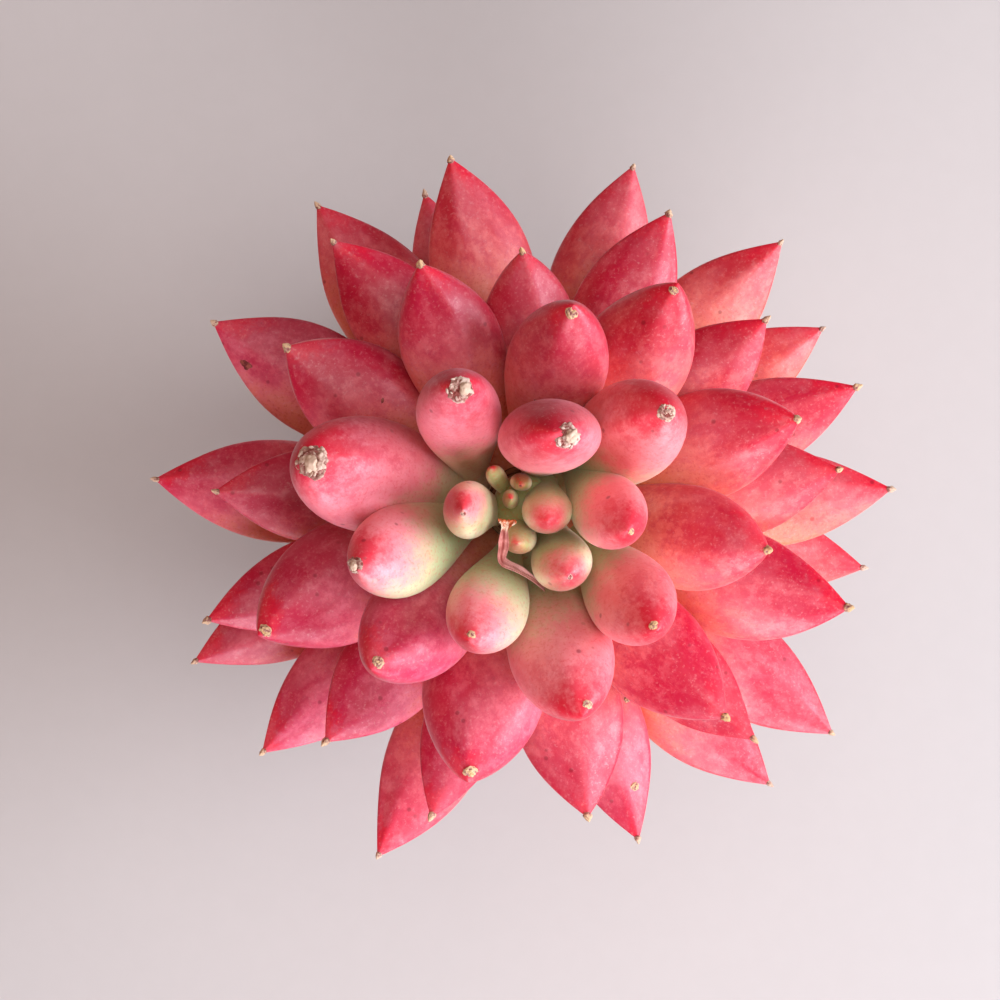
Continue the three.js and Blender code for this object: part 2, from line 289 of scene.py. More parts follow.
class FinishNodes:
    """A material's node tree, filled step by step."""

    def __init__(self, name: str) -> None:
        """Start an empty material with a Principled shader.

        Args:
            name: The material's name.
        """
        self.material = bpy.data.materials.new(name)
        self.material.use_nodes = True
        self.tree = self.material.node_tree
        self.tree.nodes.clear()
        self.shader = self.tree.nodes.new("ShaderNodeBsdfPrincipled")
        output = self.tree.nodes.new("ShaderNodeOutputMaterial")
        self.tree.links.new(self.shader.outputs[0], output.inputs["Surface"])

    def set(self, **values: float | Colour) -> None:
        """Set the shader's own sockets, with underscores for spaces in their names."""
        for key, value in values.items():
            self.shader.inputs[key.replace("_", " ")].default_value = value

    def plug(self, socket: Socket, value: Value) -> None:
        """Link a socket, or set it where the value is plain.

        Args:
            socket: The socket.
            value: Another node's output, or a plain number or colour.
        """
        if isinstance(value, Socket):
            self.tree.links.new(value, socket)
        else:
            socket.default_value = value

    def colour(self, value: Socket) -> None:
        """Send a colour to the shader."""
        self.tree.links.new(value, self.shader.inputs["Base Color"])

    def roughness(self, value: Socket) -> None:
        """Send a roughness that changes over the surface to the shader."""
        self.tree.links.new(value, self.shader.inputs["Roughness"])

    def object_place(self) -> Socket:
        """Give the place in the object's own space, in metres."""
        return self.tree.nodes.new("ShaderNodeTexCoord").outputs["Object"]

    def attribute(self, name: str, vector: bool = False) -> Socket:
        """Read an attribute of the mesh.

        Args:
            name: The attribute's name.
            vector: Whether it is read as a vector, and not as a number.

        Returns:
            Its value.
        """
        node = self.tree.nodes.new("ShaderNodeAttribute")
        node.attribute_name = name
        return node.outputs["Vector" if vector else "Fac"]

    def scaled(self, vector: Socket, scale: tuple[float, float, float]) -> Socket:
        """Stretch a place before a pattern reads it.

        Args:
            vector: The place.
            scale: Scale along each axis.

        Returns:
            The stretched place.
        """
        node = self.tree.nodes.new("ShaderNodeMapping")
        self.plug(node.inputs["Vector"], vector)
        node.inputs["Scale"].default_value = scale
        return node.outputs[0]

    def noise(
        self,
        vector: Socket,
        scale: float,
        detail: float = 3.0,
        rough: float = 0.55,
        bend: float = 0.0,
    ) -> Socket:
        """Give a cloudy pattern between 0 and 1.

        Args:
            vector: Place to read.
            scale: Clouds to each unit of the place.
            detail: Number of finer layers.
            rough: Strength of the finer layers.
            bend: Distortion of the clouds.

        Returns:
            The pattern's value.
        """
        node = self.tree.nodes.new("ShaderNodeTexNoise")
        self.plug(node.inputs["Vector"], vector)
        node.inputs["Scale"].default_value = scale
        node.inputs["Detail"].default_value = detail
        node.inputs["Roughness"].default_value = rough
        node.inputs["Distortion"].default_value = bend
        return node.outputs["Fac"]

    def cells(self, vector: Socket, scale: float) -> tuple[Socket, Socket]:
        """Scatter points at random.

        Args:
            vector: Place to read.
            scale: Points to each unit of the place.

        Returns:
            The distance to the nearest point, and that point's random colour.
        """
        node = self.tree.nodes.new("ShaderNodeTexVoronoi")
        self.plug(node.inputs["Vector"], vector)
        node.inputs["Scale"].default_value = scale
        return node.outputs["Distance"], node.outputs["Color"]

    def ease(
        self,
        value: Value,
        low: float,
        high: float,
        out_low: float = 0.0,
        out_high: float = 1.0,
    ) -> Socket:
        """Map a value smoothly from one range to another, clamped.

        Args:
            value: The value.
            low: Value that gives out_low.
            high: Value that gives out_high.
            out_low: Start of the new range.
            out_high: End of the new range.

        Returns:
            The new value.
        """
        node = self.tree.nodes.new("ShaderNodeMapRange")
        node.interpolation_type = "SMOOTHSTEP"
        self.plug(node.inputs["Value"], value)
        node.inputs["From Min"].default_value = low
        node.inputs["From Max"].default_value = high
        node.inputs["To Min"].default_value = out_low
        node.inputs["To Max"].default_value = out_high
        return node.outputs[0]

    def work(self, step: Step, first: Value, second: Value) -> Socket:
        """Work out one step of arithmetic.

        Args:
            step: What is done.
            first: The value before the sign.
            second: The value after it.

        Returns:
            The result.
        """
        node = self.tree.nodes.new("ShaderNodeMath")
        node.operation = step.value
        self.plug(node.inputs[0], first)
        self.plug(node.inputs[1], second)
        return node.outputs[0]

    def plus(self, first: Value, second: Value) -> Socket:
        """Add two values."""
        return self.work(Step.PLUS, first, second)

    def minus(self, first: Value, second: Value) -> Socket:
        """Take the second value from the first."""
        return self.work(Step.MINUS, first, second)

    def times(self, first: Value, second: Value) -> Socket:
        """Multiply two values."""
        return self.work(Step.TIMES, first, second)

    def lay(self, share: Value, under: Value, over: Value) -> Socket:
        """Lay one colour over another.

        Args:
            share: How much of the upper colour shows.
            under: The lower colour.
            over: The upper colour.

        Returns:
            The blended colour.
        """
        node = self.tree.nodes.new("ShaderNodeMix")
        node.data_type = "RGBA"
        self.plug(node.inputs[0], share)
        self.plug(node.inputs[6], under)
        self.plug(node.inputs[7], over)
        return node.outputs[2]

    def bump(
        self,
        height: Value,
        strength: float,
        depth: float,
        under: Socket | None = None,
    ) -> Socket:
        """Raise the surface a little by a pattern.

        Args:
            height: The pattern.
            strength: Its strength.
            depth: Its depth in millimetres.
            under: A bump that this one stands on.

        Returns:
            The bent normal, which is also sent to the shader.
        """
        node = self.tree.nodes.new("ShaderNodeBump")
        node.inputs["Strength"].default_value = strength
        node.inputs["Distance"].default_value = depth * MM
        self.plug(node.inputs["Height"], height)
        if under is not None:
            self.plug(node.inputs["Normal"], under)
        self.tree.links.new(node.outputs[0], self.shader.inputs["Normal"])
        return node.outputs[0]


class SkinLayers:
    """Names of the attributes that the leaf finish reads."""

    NUMBERS = ("along", "crown", "midline", "back_red_and_shade", "youth", "warmth", "flush")
    PLACE = "leaf_place"

    @classmethod
    def add(cls, mesh: Mesh) -> dict[str, bmesh.types.BMLayerItem]:
        """Give a mesh the attributes.

        Args:
            mesh: The mesh, which is still empty.

        Returns:
            The layers of the plain numbers by name.
        """
        mesh.verts.layers.float_vector.new(cls.PLACE)
        for name in cls.NUMBERS:
            mesh.verts.layers.float.new(name)
        return {name: mesh.verts.layers.float[name] for name in cls.NUMBERS}


class LeafReadings:
    """What the flesh finish reads: where it is on the leaf, the leaf's tones, partly painted light and
    shade, and four patterns.

    The patterns go from the broadest clouds to the finest grain, in features to a millimetre.
    """

    CLOUDS = 0.13
    PATCHES = 0.4
    MOTTLES = 0.75
    GRAINS = 2.7

    def __init__(self, nodes: FinishNodes) -> None:
        """Read the attributes and make the patterns.

        Args:
            nodes: The finish's nodes.
        """
        self.place = nodes.attribute(SkinLayers.PLACE, vector=True)
        self.along = nodes.attribute("along")
        self.crown = nodes.attribute("crown")
        self.midline = nodes.attribute("midline")
        self.youth = nodes.attribute("youth")
        self.warmth = nodes.attribute("warmth")
        self.flush = nodes.attribute("flush")
        self.back_red_and_shade = nodes.attribute("back_red_and_shade")
        self.clouds = nodes.noise(nodes.scaled(self.place, (1, 1, 0.6)), self.CLOUDS, 3, 0.6, 0.4)
        self.patchy = nodes.noise(nodes.scaled(self.place, (1, 1, 0.8)), self.PATCHES, 5, 0.68, 0.3)
        self.mottle = nodes.noise(nodes.scaled(self.place, (1, 1, 0.75)), self.MOTTLES, 5, 0.72, 0.1)
        self.grain = nodes.noise(self.place, self.GRAINS, 3, 0.6)


@dataclass(frozen=True)
class FleshFinish:
    """Satin leaf flesh: pale at the root, pink in the body, crimson at the tip, under a thin bloom, with
    painted shade on the undersides and deep in the heart.
    """

    olive: str = "8f8a4e"
    young_base: str = "c8d4a0"
    # root of a grown leaf: its own salmon orange, made warmer as a painted glow of light bounced between the
    # leaves
    grown_base: str = "f08a5e"
    cool_body: str = "ea6c88"
    warm_body: str = "ee7060"
    young_body: str = "fc9ea4"
    # the young colours darkened as painted shade deep in the heart
    shaded_heart_base: str = "b4b87a"
    shaded_heart_body: str = "ea9490"
    margin: str = "eee8c0"
    bright_tip: str = "e41838"
    cool_tip: str = "c00a42"
    warm_tip: str = "cc1032"
    blotch: str = "cc1656"
    # deep red of the painted shade on the undersides
    under: str = "9c1a2c"
    bloom: str = "f8ccd6"
    speck: str = "7c0c1c"
    powder: str = "fae0dc"
    satin: str = "ffd8dc"
    dots: float = 0.55
    flecks: float = 1.3
    depth: float = 2.8
    spread: tuple[float, float, float] = (1.0, 0.25, 0.18)

    def make(self) -> Material:
        """Build the material.

        Returns:
            The leaf material.
        """
        nodes = FinishNodes("leaf_flesh")
        leaf = LeafReadings(nodes)
        reach = self.reach(nodes, leaf)
        young_reach = nodes.minus(reach, nodes.ease(leaf.youth, 0.3, 1.1, 0.0, 0.34))
        young_reach = nodes.minus(young_reach, nodes.ease(leaf.youth, 1.1, 2.4, 0.0, 0.6))
        colour = self.ground(nodes, leaf, reach, young_reach)
        patches = nodes.times(nodes.ease(leaf.patchy, 0.46, 0.58), nodes.ease(leaf.mottle, 0.38, 0.54))
        patches = nodes.times(patches, nodes.ease(young_reach, 0.5, 0.95))
        patches = nodes.times(patches, nodes.ease(leaf.flush, 0.0, 1.0, 0.1, 0.45))
        colour = nodes.lay(patches, colour, linear(self.blotch))

        tip = nodes.lay(leaf.warmth, linear(self.cool_tip), linear(self.warm_tip))
        tip = nodes.lay(nodes.ease(leaf.youth, 0.3, 0.8), tip, linear(self.bright_tip))
        colour = self.blush(nodes, leaf, reach, tip, colour)
        # painted shade: the undersides darken towards deep red
        colour = nodes.lay(nodes.ease(leaf.crown, -0.1, -0.9, 0.0, 0.5), colour, linear(self.under))
        colour = self.bloomed(nodes, leaf, tip, colour)
        nodes.colour(self.speckled(nodes, leaf, colour))

        nodes.roughness(nodes.ease(leaf.mottle, 0.3, 0.7, 0.3, 0.46))
        nodes.set(Subsurface_Weight=0.35, Subsurface_Scale=self.depth * MM)
        nodes.set(Subsurface_Radius=self.spread, Specular_IOR_Level=0.42)
        nodes.set(Sheen_Weight=0.2, Sheen_Roughness=0.35, Sheen_Tint=linear(self.satin))
        soft = nodes.bump(leaf.mottle, 0.3, 0.12)
        nodes.bump(leaf.grain, 0.25, 0.05, soft)
        return nodes.material

    @staticmethod
    def reach(nodes: FinishNodes, leaf: LeafReadings) -> Socket:
        """Give the place along the leaf as the colours see it, pushed to and fro by the patterns.

        Args:
            nodes: The finish's nodes.
            leaf: What the finish reads.

        Returns:
            About 0 at the root and 1 at the tip.
        """
        reach = nodes.plus(leaf.along, nodes.ease(leaf.clouds, 0.28, 0.72, 0.0, 0.12))
        reach = nodes.plus(reach, nodes.ease(leaf.mottle, 0.3, 0.7, 0.0, 0.1))
        reach = nodes.plus(reach, nodes.ease(leaf.grain, 0.3, 0.7, 0.0, 0.06))
        # the side towards the back reddens further: partly its own colour, partly painted shade away from
        # the light
        reach = nodes.plus(reach, leaf.back_red_and_shade)
        return nodes.plus(reach, nodes.ease(leaf.flush, 0.2, 1.0, -0.08, 0.12))

    def ground(self, nodes: FinishNodes, leaf: LeafReadings, reach: Socket, young_reach: Socket) -> Socket:
        """Colour the root and the body, and the pale margin of the young leaves.

        Args:
            nodes: The finish's nodes.
            leaf: What the finish reads.
            reach: Place along a grown leaf.
            young_reach: Place along a young leaf, whose pale root comes further.

        Returns:
            The colour.
        """
        base = nodes.lay(nodes.ease(leaf.youth, 0.1, 0.8), linear(self.grown_base), linear(self.young_base))
        # painted shade: root and body of the heart leaves darker where they sit deep in the heart
        base = nodes.lay(nodes.ease(leaf.youth, 1.0, 1.6), base, linear(self.shaded_heart_base))
        base = nodes.lay(nodes.ease(leaf.youth, 1.9, 2.4), base, linear(self.olive))
        body = nodes.lay(leaf.warmth, linear(self.cool_body), linear(self.warm_body))
        body = nodes.lay(nodes.ease(leaf.youth, 0.1, 1.0, 0.0, 0.95), body, linear(self.young_body))
        body = nodes.lay(nodes.ease(leaf.youth, 1.0, 1.5), body, linear(self.shaded_heart_body))
        grown_turn = nodes.ease(reach, 0.45, 0.88)
        young_turn = nodes.ease(young_reach, 0.3, 0.66)
        turned = nodes.lay(nodes.ease(leaf.youth, 0.0, 0.5), grown_turn, young_turn)
        colour = nodes.lay(turned, base, body)
        edge = nodes.ease(leaf.midline, 0.5, 0.92)
        edge = nodes.times(edge, nodes.ease(leaf.youth, 0.75, 1.05, 0.0, 0.75))
        return nodes.lay(edge, colour, linear(self.margin))

    def blush(
        self, nodes: FinishNodes, leaf: LeafReadings, reach: Socket, tip: Socket, colour: Socket
    ) -> Socket:
        """Redden the outer part of a grown leaf, and a small patch at the tip of a young one.

        Args:
            nodes: The finish's nodes.
            leaf: What the finish reads.
            reach: Place along a grown leaf.
            tip: The red.
            colour: The colour so far.

        Returns:
            The colour.
        """
        grown = nodes.times(nodes.ease(reach, 0.7, 1.04), nodes.ease(leaf.flush, 0.0, 1.0, 0.75, 1.0))
        small = nodes.plus(leaf.along, nodes.ease(leaf.mottle, 0.3, 0.7, -0.03, 0.05))
        # the same redder back side, partly painted shade
        small = nodes.plus(small, nodes.times(leaf.back_red_and_shade, 0.5))
        small = nodes.minus(small, nodes.ease(leaf.youth, 1.0, 1.4, 0.0, 0.06))
        young = nodes.times(nodes.ease(small, 0.78, 0.95), nodes.ease(leaf.midline, 0.3, 0.85, 1.0, 0.2))
        young = nodes.times(young, nodes.ease(leaf.flush, 0.0, 0.6, 0.0, 0.9))
        red = nodes.times(nodes.lay(leaf.youth, grown, young), nodes.ease(leaf.mottle, 0.35, 0.6, 0.82, 1.0))
        colour = nodes.lay(red, colour, tip)
        return nodes.lay(nodes.ease(small, 0.9, 1.0, 0.0, 0.75), colour, linear(self.bright_tip))

    def bloomed(self, nodes: FinishNodes, leaf: LeafReadings, tip: Socket, colour: Socket) -> Socket:
        """Lay the thin bloom, the powder and the fine red grain over the skin.

        Args:
            nodes: The finish's nodes.
            leaf: What the finish reads.
            tip: The red.
            colour: The colour so far.

        Returns:
            The colour.
        """
        veil = nodes.ease(leaf.clouds, 0.6, 0.4, 0.0, 0.1)
        veil = nodes.plus(veil, nodes.ease(leaf.mottle, 0.54, 0.34, 0.0, 0.05))
        veil = nodes.times(veil, nodes.ease(leaf.crown, -0.3, 0.9))
        colour = nodes.lay(veil, colour, linear(self.bloom))
        colour = nodes.lay(nodes.ease(leaf.grain, 0.55, 0.72, 0.0, 0.14), colour, linear(self.powder))
        return nodes.lay(nodes.ease(leaf.grain, 0.47, 0.34, 0.0, 0.3), colour, tip)

    def speckled(self, nodes: FinishNodes, leaf: LeafReadings, colour: Socket) -> Socket:
        """Scatter dark dots and pale flecks over the outer half.

        Args:
            nodes: The finish's nodes.
            leaf: What the finish reads.
            colour: The colour so far.

        Returns:
            The colour.
        """
        near, pick = nodes.cells(leaf.place, self.dots)
        dot = nodes.times(nodes.ease(near, 0.2, 0.08), nodes.ease(pick, 0.64, 0.7))
        dot = nodes.times(dot, nodes.ease(leaf.along, 0.5, 0.75, 0.0, 0.5))
        colour = nodes.lay(dot, colour, linear(self.speck))
        near, pick = nodes.cells(leaf.place, self.flecks)
        fleck = nodes.times(nodes.ease(near, 0.1, 0.04), nodes.ease(pick, 0.66, 0.74))
        fleck = nodes.times(fleck, nodes.ease(leaf.along, 0.5, 0.9, 0.0, 0.2))
        return nodes.lay(fleck, colour, linear(self.powder))


@dataclass(frozen=True)
class CorkFinish:
    """Dry cork and dead leaf tissue, coloured by height: reddish in its hollows, greyish on its flanks, pale
    on its crests; the reddish hollows are partly painted shade and the pale crests partly painted highlight.
    """

    # reddish tone of the hollows: partly the tissue's own colour, partly painted shade
    hollow_tone_and_shade: str = "8c443c"
    flank: str = "ac8074"
    crest: str = "d4bcae"
    ochre: str = "dcb680"

    def make(self) -> Material:
        """Build the material.

        Returns:
            The material.
        """
        nodes = FinishNodes("dried_cork")
        place = nodes.object_place()
        crest = nodes.attribute("crest")
        ochre = nodes.attribute("ochre")
        fine = nodes.noise(place, 2800, 4, 0.65)
        height = nodes.plus(crest, nodes.ease(fine, 0.3, 0.7, -0.16, 0.16))
        pale = nodes.lay(ochre, linear(self.crest), linear(self.ochre))
        # colour by height: darker low, paler high, partly painted shade and highlight on the relief
        colour = nodes.lay(nodes.ease(height, 0.1, 0.42), linear(self.hollow_tone_and_shade), linear(self.flank))
        colour = nodes.lay(nodes.ease(height, 0.36, 0.66), colour, pale)
        nodes.colour(colour)
        nodes.set(Roughness=0.7, Specular_IOR_Level=0.35)
        nodes.bump(fine, 0.5, 0.08)
        return nodes.material


@dataclass(frozen=True)
class PaperFinish:
    """Dry papery stalk: pinkish brown skin that turns orange and cream at its frayed end, with painted shade
    in its folds.
    """

    skin: str = "cc8a80"
    dark: str = "96443c"
    root: str = "e8b0ac"
    frayed: str = "c8642c"
    cream: str = "fae6c8"

    def make(self) -> Material:
        """Build the material.

        Returns:
            The material.
        """
        nodes = FinishNodes("dried_paper")
        place = nodes.object_place()
        along = nodes.attribute("along")
        fold = nodes.attribute("fold")
        streaks = nodes.noise(nodes.scaled(place, (1, 0.35, 0.6)), 1900, 4, 0.6)
        skin = nodes.lay(nodes.ease(along, 0.3, 0.5), linear(self.root), linear(self.skin))
        shade = nodes.ease(streaks, 0.35, 0.65, 0.0, 0.6)
        # the fold term is painted shade in the ribbon's folds; the streaks are the stalk's own colour; both
        # grow stronger up the stalk
        shade = nodes.plus(shade, nodes.ease(fold, 0.5, 0.25, 0.0, 0.7))
        shade = nodes.times(shade, nodes.ease(along, 0.35, 0.55, 0.35, 1.0))
        colour = nodes.lay(shade, skin, linear(self.dark))
        tips = nodes.times(nodes.ease(along, 0.8, 0.88), nodes.ease(streaks, 0.52, 0.42))
        colour = nodes.lay(nodes.ease(along, 0.8, 0.9, 0.0, 0.9), colour, linear(self.frayed))
        colour = nodes.lay(nodes.times(tips, nodes.ease(along, 0.99, 0.95)), colour, linear(self.cream))
        nodes.colour(colour)
        nodes.set(Roughness=0.55, Specular_IOR_Level=0.4)
        nodes.bump(streaks, 0.5, 0.08)
        return nodes.material


@dataclass(frozen=True)
class StemFinish:
    """Short woody stem with the rings of old leaf scars."""

    bark: str = "8f6d4c"
    dark: str = "59402c"
    green: str = "9a9160"

    def make(self) -> Material:
        """Build the material.

        Returns:
            The material.
        """
        nodes = FinishNodes("stem_bark")
        place = nodes.object_place()
        rings = nodes.noise(nodes.scaled(place, (0.4, 0.4, 1)), 900, 4, 0.6)
        spots = nodes.noise(place, 420, 5, 0.6)
        colour = nodes.lay(nodes.ease(rings, 0.4, 0.62), linear(self.bark), linear(self.dark))
        colour = nodes.lay(nodes.ease(spots, 0.55, 0.7, 0, 0.6), colour, linear(self.green))
        nodes.colour(colour)
        nodes.set(Roughness=0.75, Specular_IOR_Level=0.3)
        nodes.bump(rings, 0.7, 0.3)
        return nodes.material


@dataclass(frozen=True)
class ClayFinish:
    """Unglazed clay with sandy grain, fired clouds, salt marks and turning grooves."""

    clay: str = "b4684a"
    fired: str = "8f4a34"
    salt: str = "d9b79e"

    def make(self) -> Material:
        """Build the material.

        Returns:
            The material.
        """
        nodes = FinishNodes("terracotta")
        place = nodes.object_place()
        clouds = nodes.noise(place, 60, 5, 0.6, 0.3)
        turning = nodes.noise(nodes.scaled(place, (0.15, 0.15, 1)), 700, 3, 0.5)
        sand = nodes.noise(place, 2600, 3, 0.6)
        colour = nodes.lay(nodes.ease(clouds, 0.35, 0.65, 0.0, 0.5), linear(self.clay), linear(self.fired))
        colour = nodes.lay(nodes.ease(clouds, 0.58, 0.72, 0.0, 0.55), colour, linear(self.salt))
        colour = nodes.lay(nodes.ease(sand, 0.6, 0.75, 0.0, 0.35), colour, linear(self.salt))
        colour = nodes.lay(nodes.ease(sand, 0.38, 0.28, 0.0, 0.35), colour, linear(self.fired))
        nodes.colour(colour)
        nodes.set(Roughness=0.88, Specular_IOR_Level=0.25)
        grooves = nodes.bump(turning, 0.35, 0.2)
        nodes.bump(sand, 0.4, 0.1, grooves)
        return nodes.material


@dataclass(frozen=True)
class GritFinish:
    """Damp potting mix, or the grains in it, between two colours."""

    name: str
    dark: str
    light: str
    wear: float = 0.5

    def make(self) -> Material:
        """Build the material.

        Returns:
            The material.
        """
        nodes = FinishNodes(self.name)
        place = nodes.object_place()
        patches = nodes.noise(place, 520, 5, 0.65)
        fine = nodes.noise(place, 2600, 4, 0.6)
        colour = nodes.lay(nodes.ease(patches, 0.38, 0.62), linear(self.dark), linear(self.light))
        colour = nodes.lay(nodes.ease(fine, 0.55, 0.75, 0, self.wear), colour, linear(self.light))
        nodes.colour(colour)
        nodes.set(Roughness=0.92, Specular_IOR_Level=0.2)
        nodes.bump(fine, 0.7, 0.25)
        return nodes.material


@dataclass(frozen=True)
class BlemishFinish:
    """Small dark sunken marks on the leaves."""

    mark: str = "6b1f22"
    rim: str = "a8584a"

    def make(self) -> Material:
        """Build the material.

        Returns:
            The material.
        """
        nodes = FinishNodes("leaf_blemish")
        fine = nodes.noise(nodes.object_place(), 1500, 4, 0.6)
        nodes.colour(nodes.lay(nodes.ease(fine, 0.4, 0.6), linear(self.mark), linear(self.rim)))
        nodes.set(Roughness=0.6)
        nodes.bump(fine, 0.4, 0.06)
        return nodes.material


@dataclass(frozen=True)
class BackdropFinish:
    """Matt backdrop paper with a faint grain."""

    tone: str = "bfbcb8"
    fibres: str = "aeaba6"

    def make(self) -> Material:
        """Build the material.

        Returns:
            The material.
        """
        nodes = FinishNodes("studio_floor")
        grain = nodes.noise(nodes.object_place(), 300, 3)
        nodes.colour(nodes.lay(nodes.ease(grain, 0.3, 0.7, 0, 0.06), linear(self.tone), linear(self.fibres)))
        nodes.set(Roughness=0.85, Specular_IOR_Level=0.2)
        return nodes.material


@dataclass(frozen=True)
class Leaf:
    """One fleshy leaf between its root on the stem and its tip."""

    root: Vector
    tip: Vector
    width: float
    blunt: float
    sweep: float = 0.0
    base: float = 0.38
    thickness: float = LEAF_THICKNESS
    roll: float = 0.0
    youth: float = 0.0
    warmth: float = 0.5
    flush: float = 0.6
    ridge: float = 0.0
    keel: float = 0.0
    keel_lean: float = 0.0
    seed: int = 0

    def profile(self, station: float) -> float:
        """Give the half width as a share of the widest.

        Args:
            station: Place along the leaf, from the root at 0 to the tip at 1.

        Returns:
            The share.
        """
        if station < LEAF_WIDEST_AT:
            share = max(station, 0.0) / LEAF_WIDEST_AT
            return self.base + (1 - self.base) * math.sin(math.pi / 2 * share) ** 1.3
        share = (station - LEAF_WIDEST_AT) / (1 - LEAF_WIDEST_AT)
        return max(1 - share * share, 0.0) ** (1.05 - 0.52 * self.blunt)

    def spine(self) -> tuple[Vector, Vector, Vector, Vector]:
        """Bend the leaf's spine.

        Returns:
            The spine's three control points and the leaf's upward direction.
        """
        axis = self.tip - self.root
        length = axis.length
        axis.normalize()
        side = Vector((0, 0, 1)).cross(axis).normalized()
        up = axis.cross(side)
        middle = (self.root + self.tip) / 2 - up * (LEAF_BEND * length) + side * (2 * self.sweep)
        up = Matrix.Rotation(math.radians(self.roll), 3, axis) @ up
        return self.root, middle, self.tip, up

    def ring(self, station: float) -> tuple[Vector, Vector, Vector, Vector]:
        """Set up a cross-section.

        Args:
            station: Place along the leaf.

        Returns:
            Its centre, and its forward, side and up directions.
        """
        root, middle, tip, up = self.spine()
        rest = 1 - station
        centre = root * (rest * rest) + middle * (2 * station * rest) + tip * (station * station)
        forward = ((middle - root) * rest + (tip - middle) * station).normalized()
        ring_up = (up - forward * up.dot(forward)).normalized()
        return centre, forward, ring_up.cross(forward), ring_up

    def outline(self, station: float, angle: float) -> tuple[float, float]:
        """Give a cross-section's point across and up, in millimetres.

        Args:
            station: Place along the leaf.
            angle: Direction round the section, with 0 to one side and a quarter turn on top.

        Returns:
            Distance to the side and distance up.
        """
        half = self.profile(station) * self.width / 2
        upper = math.sin(angle) > 0
        rise = math.sin(angle) * self.thickness * (UPPER_FULLNESS if upper else LOWER_FULLNESS)
        across = math.cos(angle)
        if self.ridge > 0:
            margin = math.radians(FACET_ANGLE)
            strength = self.ridge * smoothstep(0.5, 0.86, station)
            for corner in (margin, math.pi - margin):
                away = (angle - corner + math.pi) % (2 * math.pi) - math.pi
                bulge = FACET_BULGE * strength * math.exp(-((away / FACET_SPREAD) ** 2))
                across *= 1 + bulge
                rise *= 1 + FACET_LIFT * bulge
            if upper:
                rise *= 1 - FACET_DIP * strength
        if self.keel > 0 and upper:
            crease = math.radians(90 + self.keel_lean)
            strength = self.keel * smoothstep(0.6, 0.9, station)
            fold = KEEL_RISE * math.exp(-(((angle - crease) / KEEL_SPREAD) ** 2)) - KEEL_DIP
            rise *= 1 + strength * fold
        return half * across, half * rise

    def back_red_and_shade_reach(self) -> float:
        """Give how much redder the side towards the back is, as a share of the leaf's length: partly the
        leaf's own colour, partly painted shade on the side away from the light.
        """
        axis = self.tip - self.root
        return BACK_SIDE_RED_AND_SHADE * axis.x / max(math.hypot(axis.x, axis.y), 0.5)

    def point(self, station: float, angle: float) -> Vector:
        """Give a point of the leaf's skin.

        Args:
            station: Place along the leaf.
            angle: Direction round the section.

        Returns:
            The point.
        """
        centre, _, side, up = self.ring(station)
        across, rise = self.outline(station, angle)
        return centre + side * across + up * rise

    def place(self, station: float, angle: float) -> tuple[Vector, Vector]:
        """Find where a mark stands on the leaf's skin.

        Args:
            station: Place along the leaf.
            angle: Direction round the section.

        Returns:
            The point and the direction out of the skin.
        """
        here = self.point(station, angle)
        ahead = self.point(min(station + 0.01, 1.0), angle) - self.point(station - 0.01, angle)
        beside = self.point(station, angle + 0.05) - self.point(station, angle - 0.05)
        return here, ahead.cross(beside).normalized() * -1

    def add_to(self, mesh: Mesh, around: int, rows: int) -> None:
        """Add the leaf to a mesh as a sphere that is drawn out along the spine.

        Args:
            mesh: The mesh that it joins.
            around: Faces round the leaf.
            rows: Faces along it.
        """
        part = bmesh.new()
        layers = SkinLayers.add(part)
        place_layer = part.verts.layers.float_vector[SkinLayers.PLACE]
        bmesh.ops.create_uvsphere(part, u_segments=around, v_segments=rows, radius=1)
        length = (self.tip - self.root).length
        offset = Vector((17.0 * self.seed, 5.0 * self.seed, 11.0 * self.seed))
        rings = {}
        for vert in part.verts:
            row = round(vert.co.z, 4)
            if row not in rings:
                station = self.station(1 - math.acos(max(min(row, 1.0), -1.0)) / math.pi)
                rings[row] = (station, *self.ring(station))
            station, centre, _, side, up = rings[row]
            angle = math.atan2(vert.co.y, vert.co.x)
            across, rise = self.outline(station, angle)
            spot = Vector((across, rise, 0.4 * station * length)) * 0.22
            swell = 1 + UNEVENNESS * noise.noise(spot + offset)
            vert.co = (centre + side * across * swell + up * rise * swell) * MM
            vert[place_layer] = Vector((across, rise, station * length)) + offset
            vert[layers["along"]] = min(max(station, 0.0), 1.0)
            vert[layers["crown"]] = math.sin(angle)
            vert[layers["midline"]] = abs(across) / (self.width / 2)
            vert[layers["back_red_and_shade"]] = self.back_red_and_shade_reach() * math.cos(angle)
            vert[layers["youth"]] = self.youth
            vert[layers["warmth"]] = self.warmth
            vert[layers["flush"]] = self.flush
        join(mesh, part)

    @staticmethod
    def station(share: float) -> float:
        """Turn an even share of the sphere's arc into a place along the leaf, closer set near the tip.

        Args:
            share: The share, from the root at 0 to the tip at 1.

        Returns:
            The place, a little below 0 inside the stem and 1 at the tip.
        """
        if share < 0.5:
            return -LEAF_ROOT_SINK + (LEAF_WIDEST_AT + LEAF_ROOT_SINK) * share / 0.5
        return LEAF_WIDEST_AT + (1 - LEAF_WIDEST_AT) * math.sin(math.pi / 2 * (share - 0.5) / 0.5)


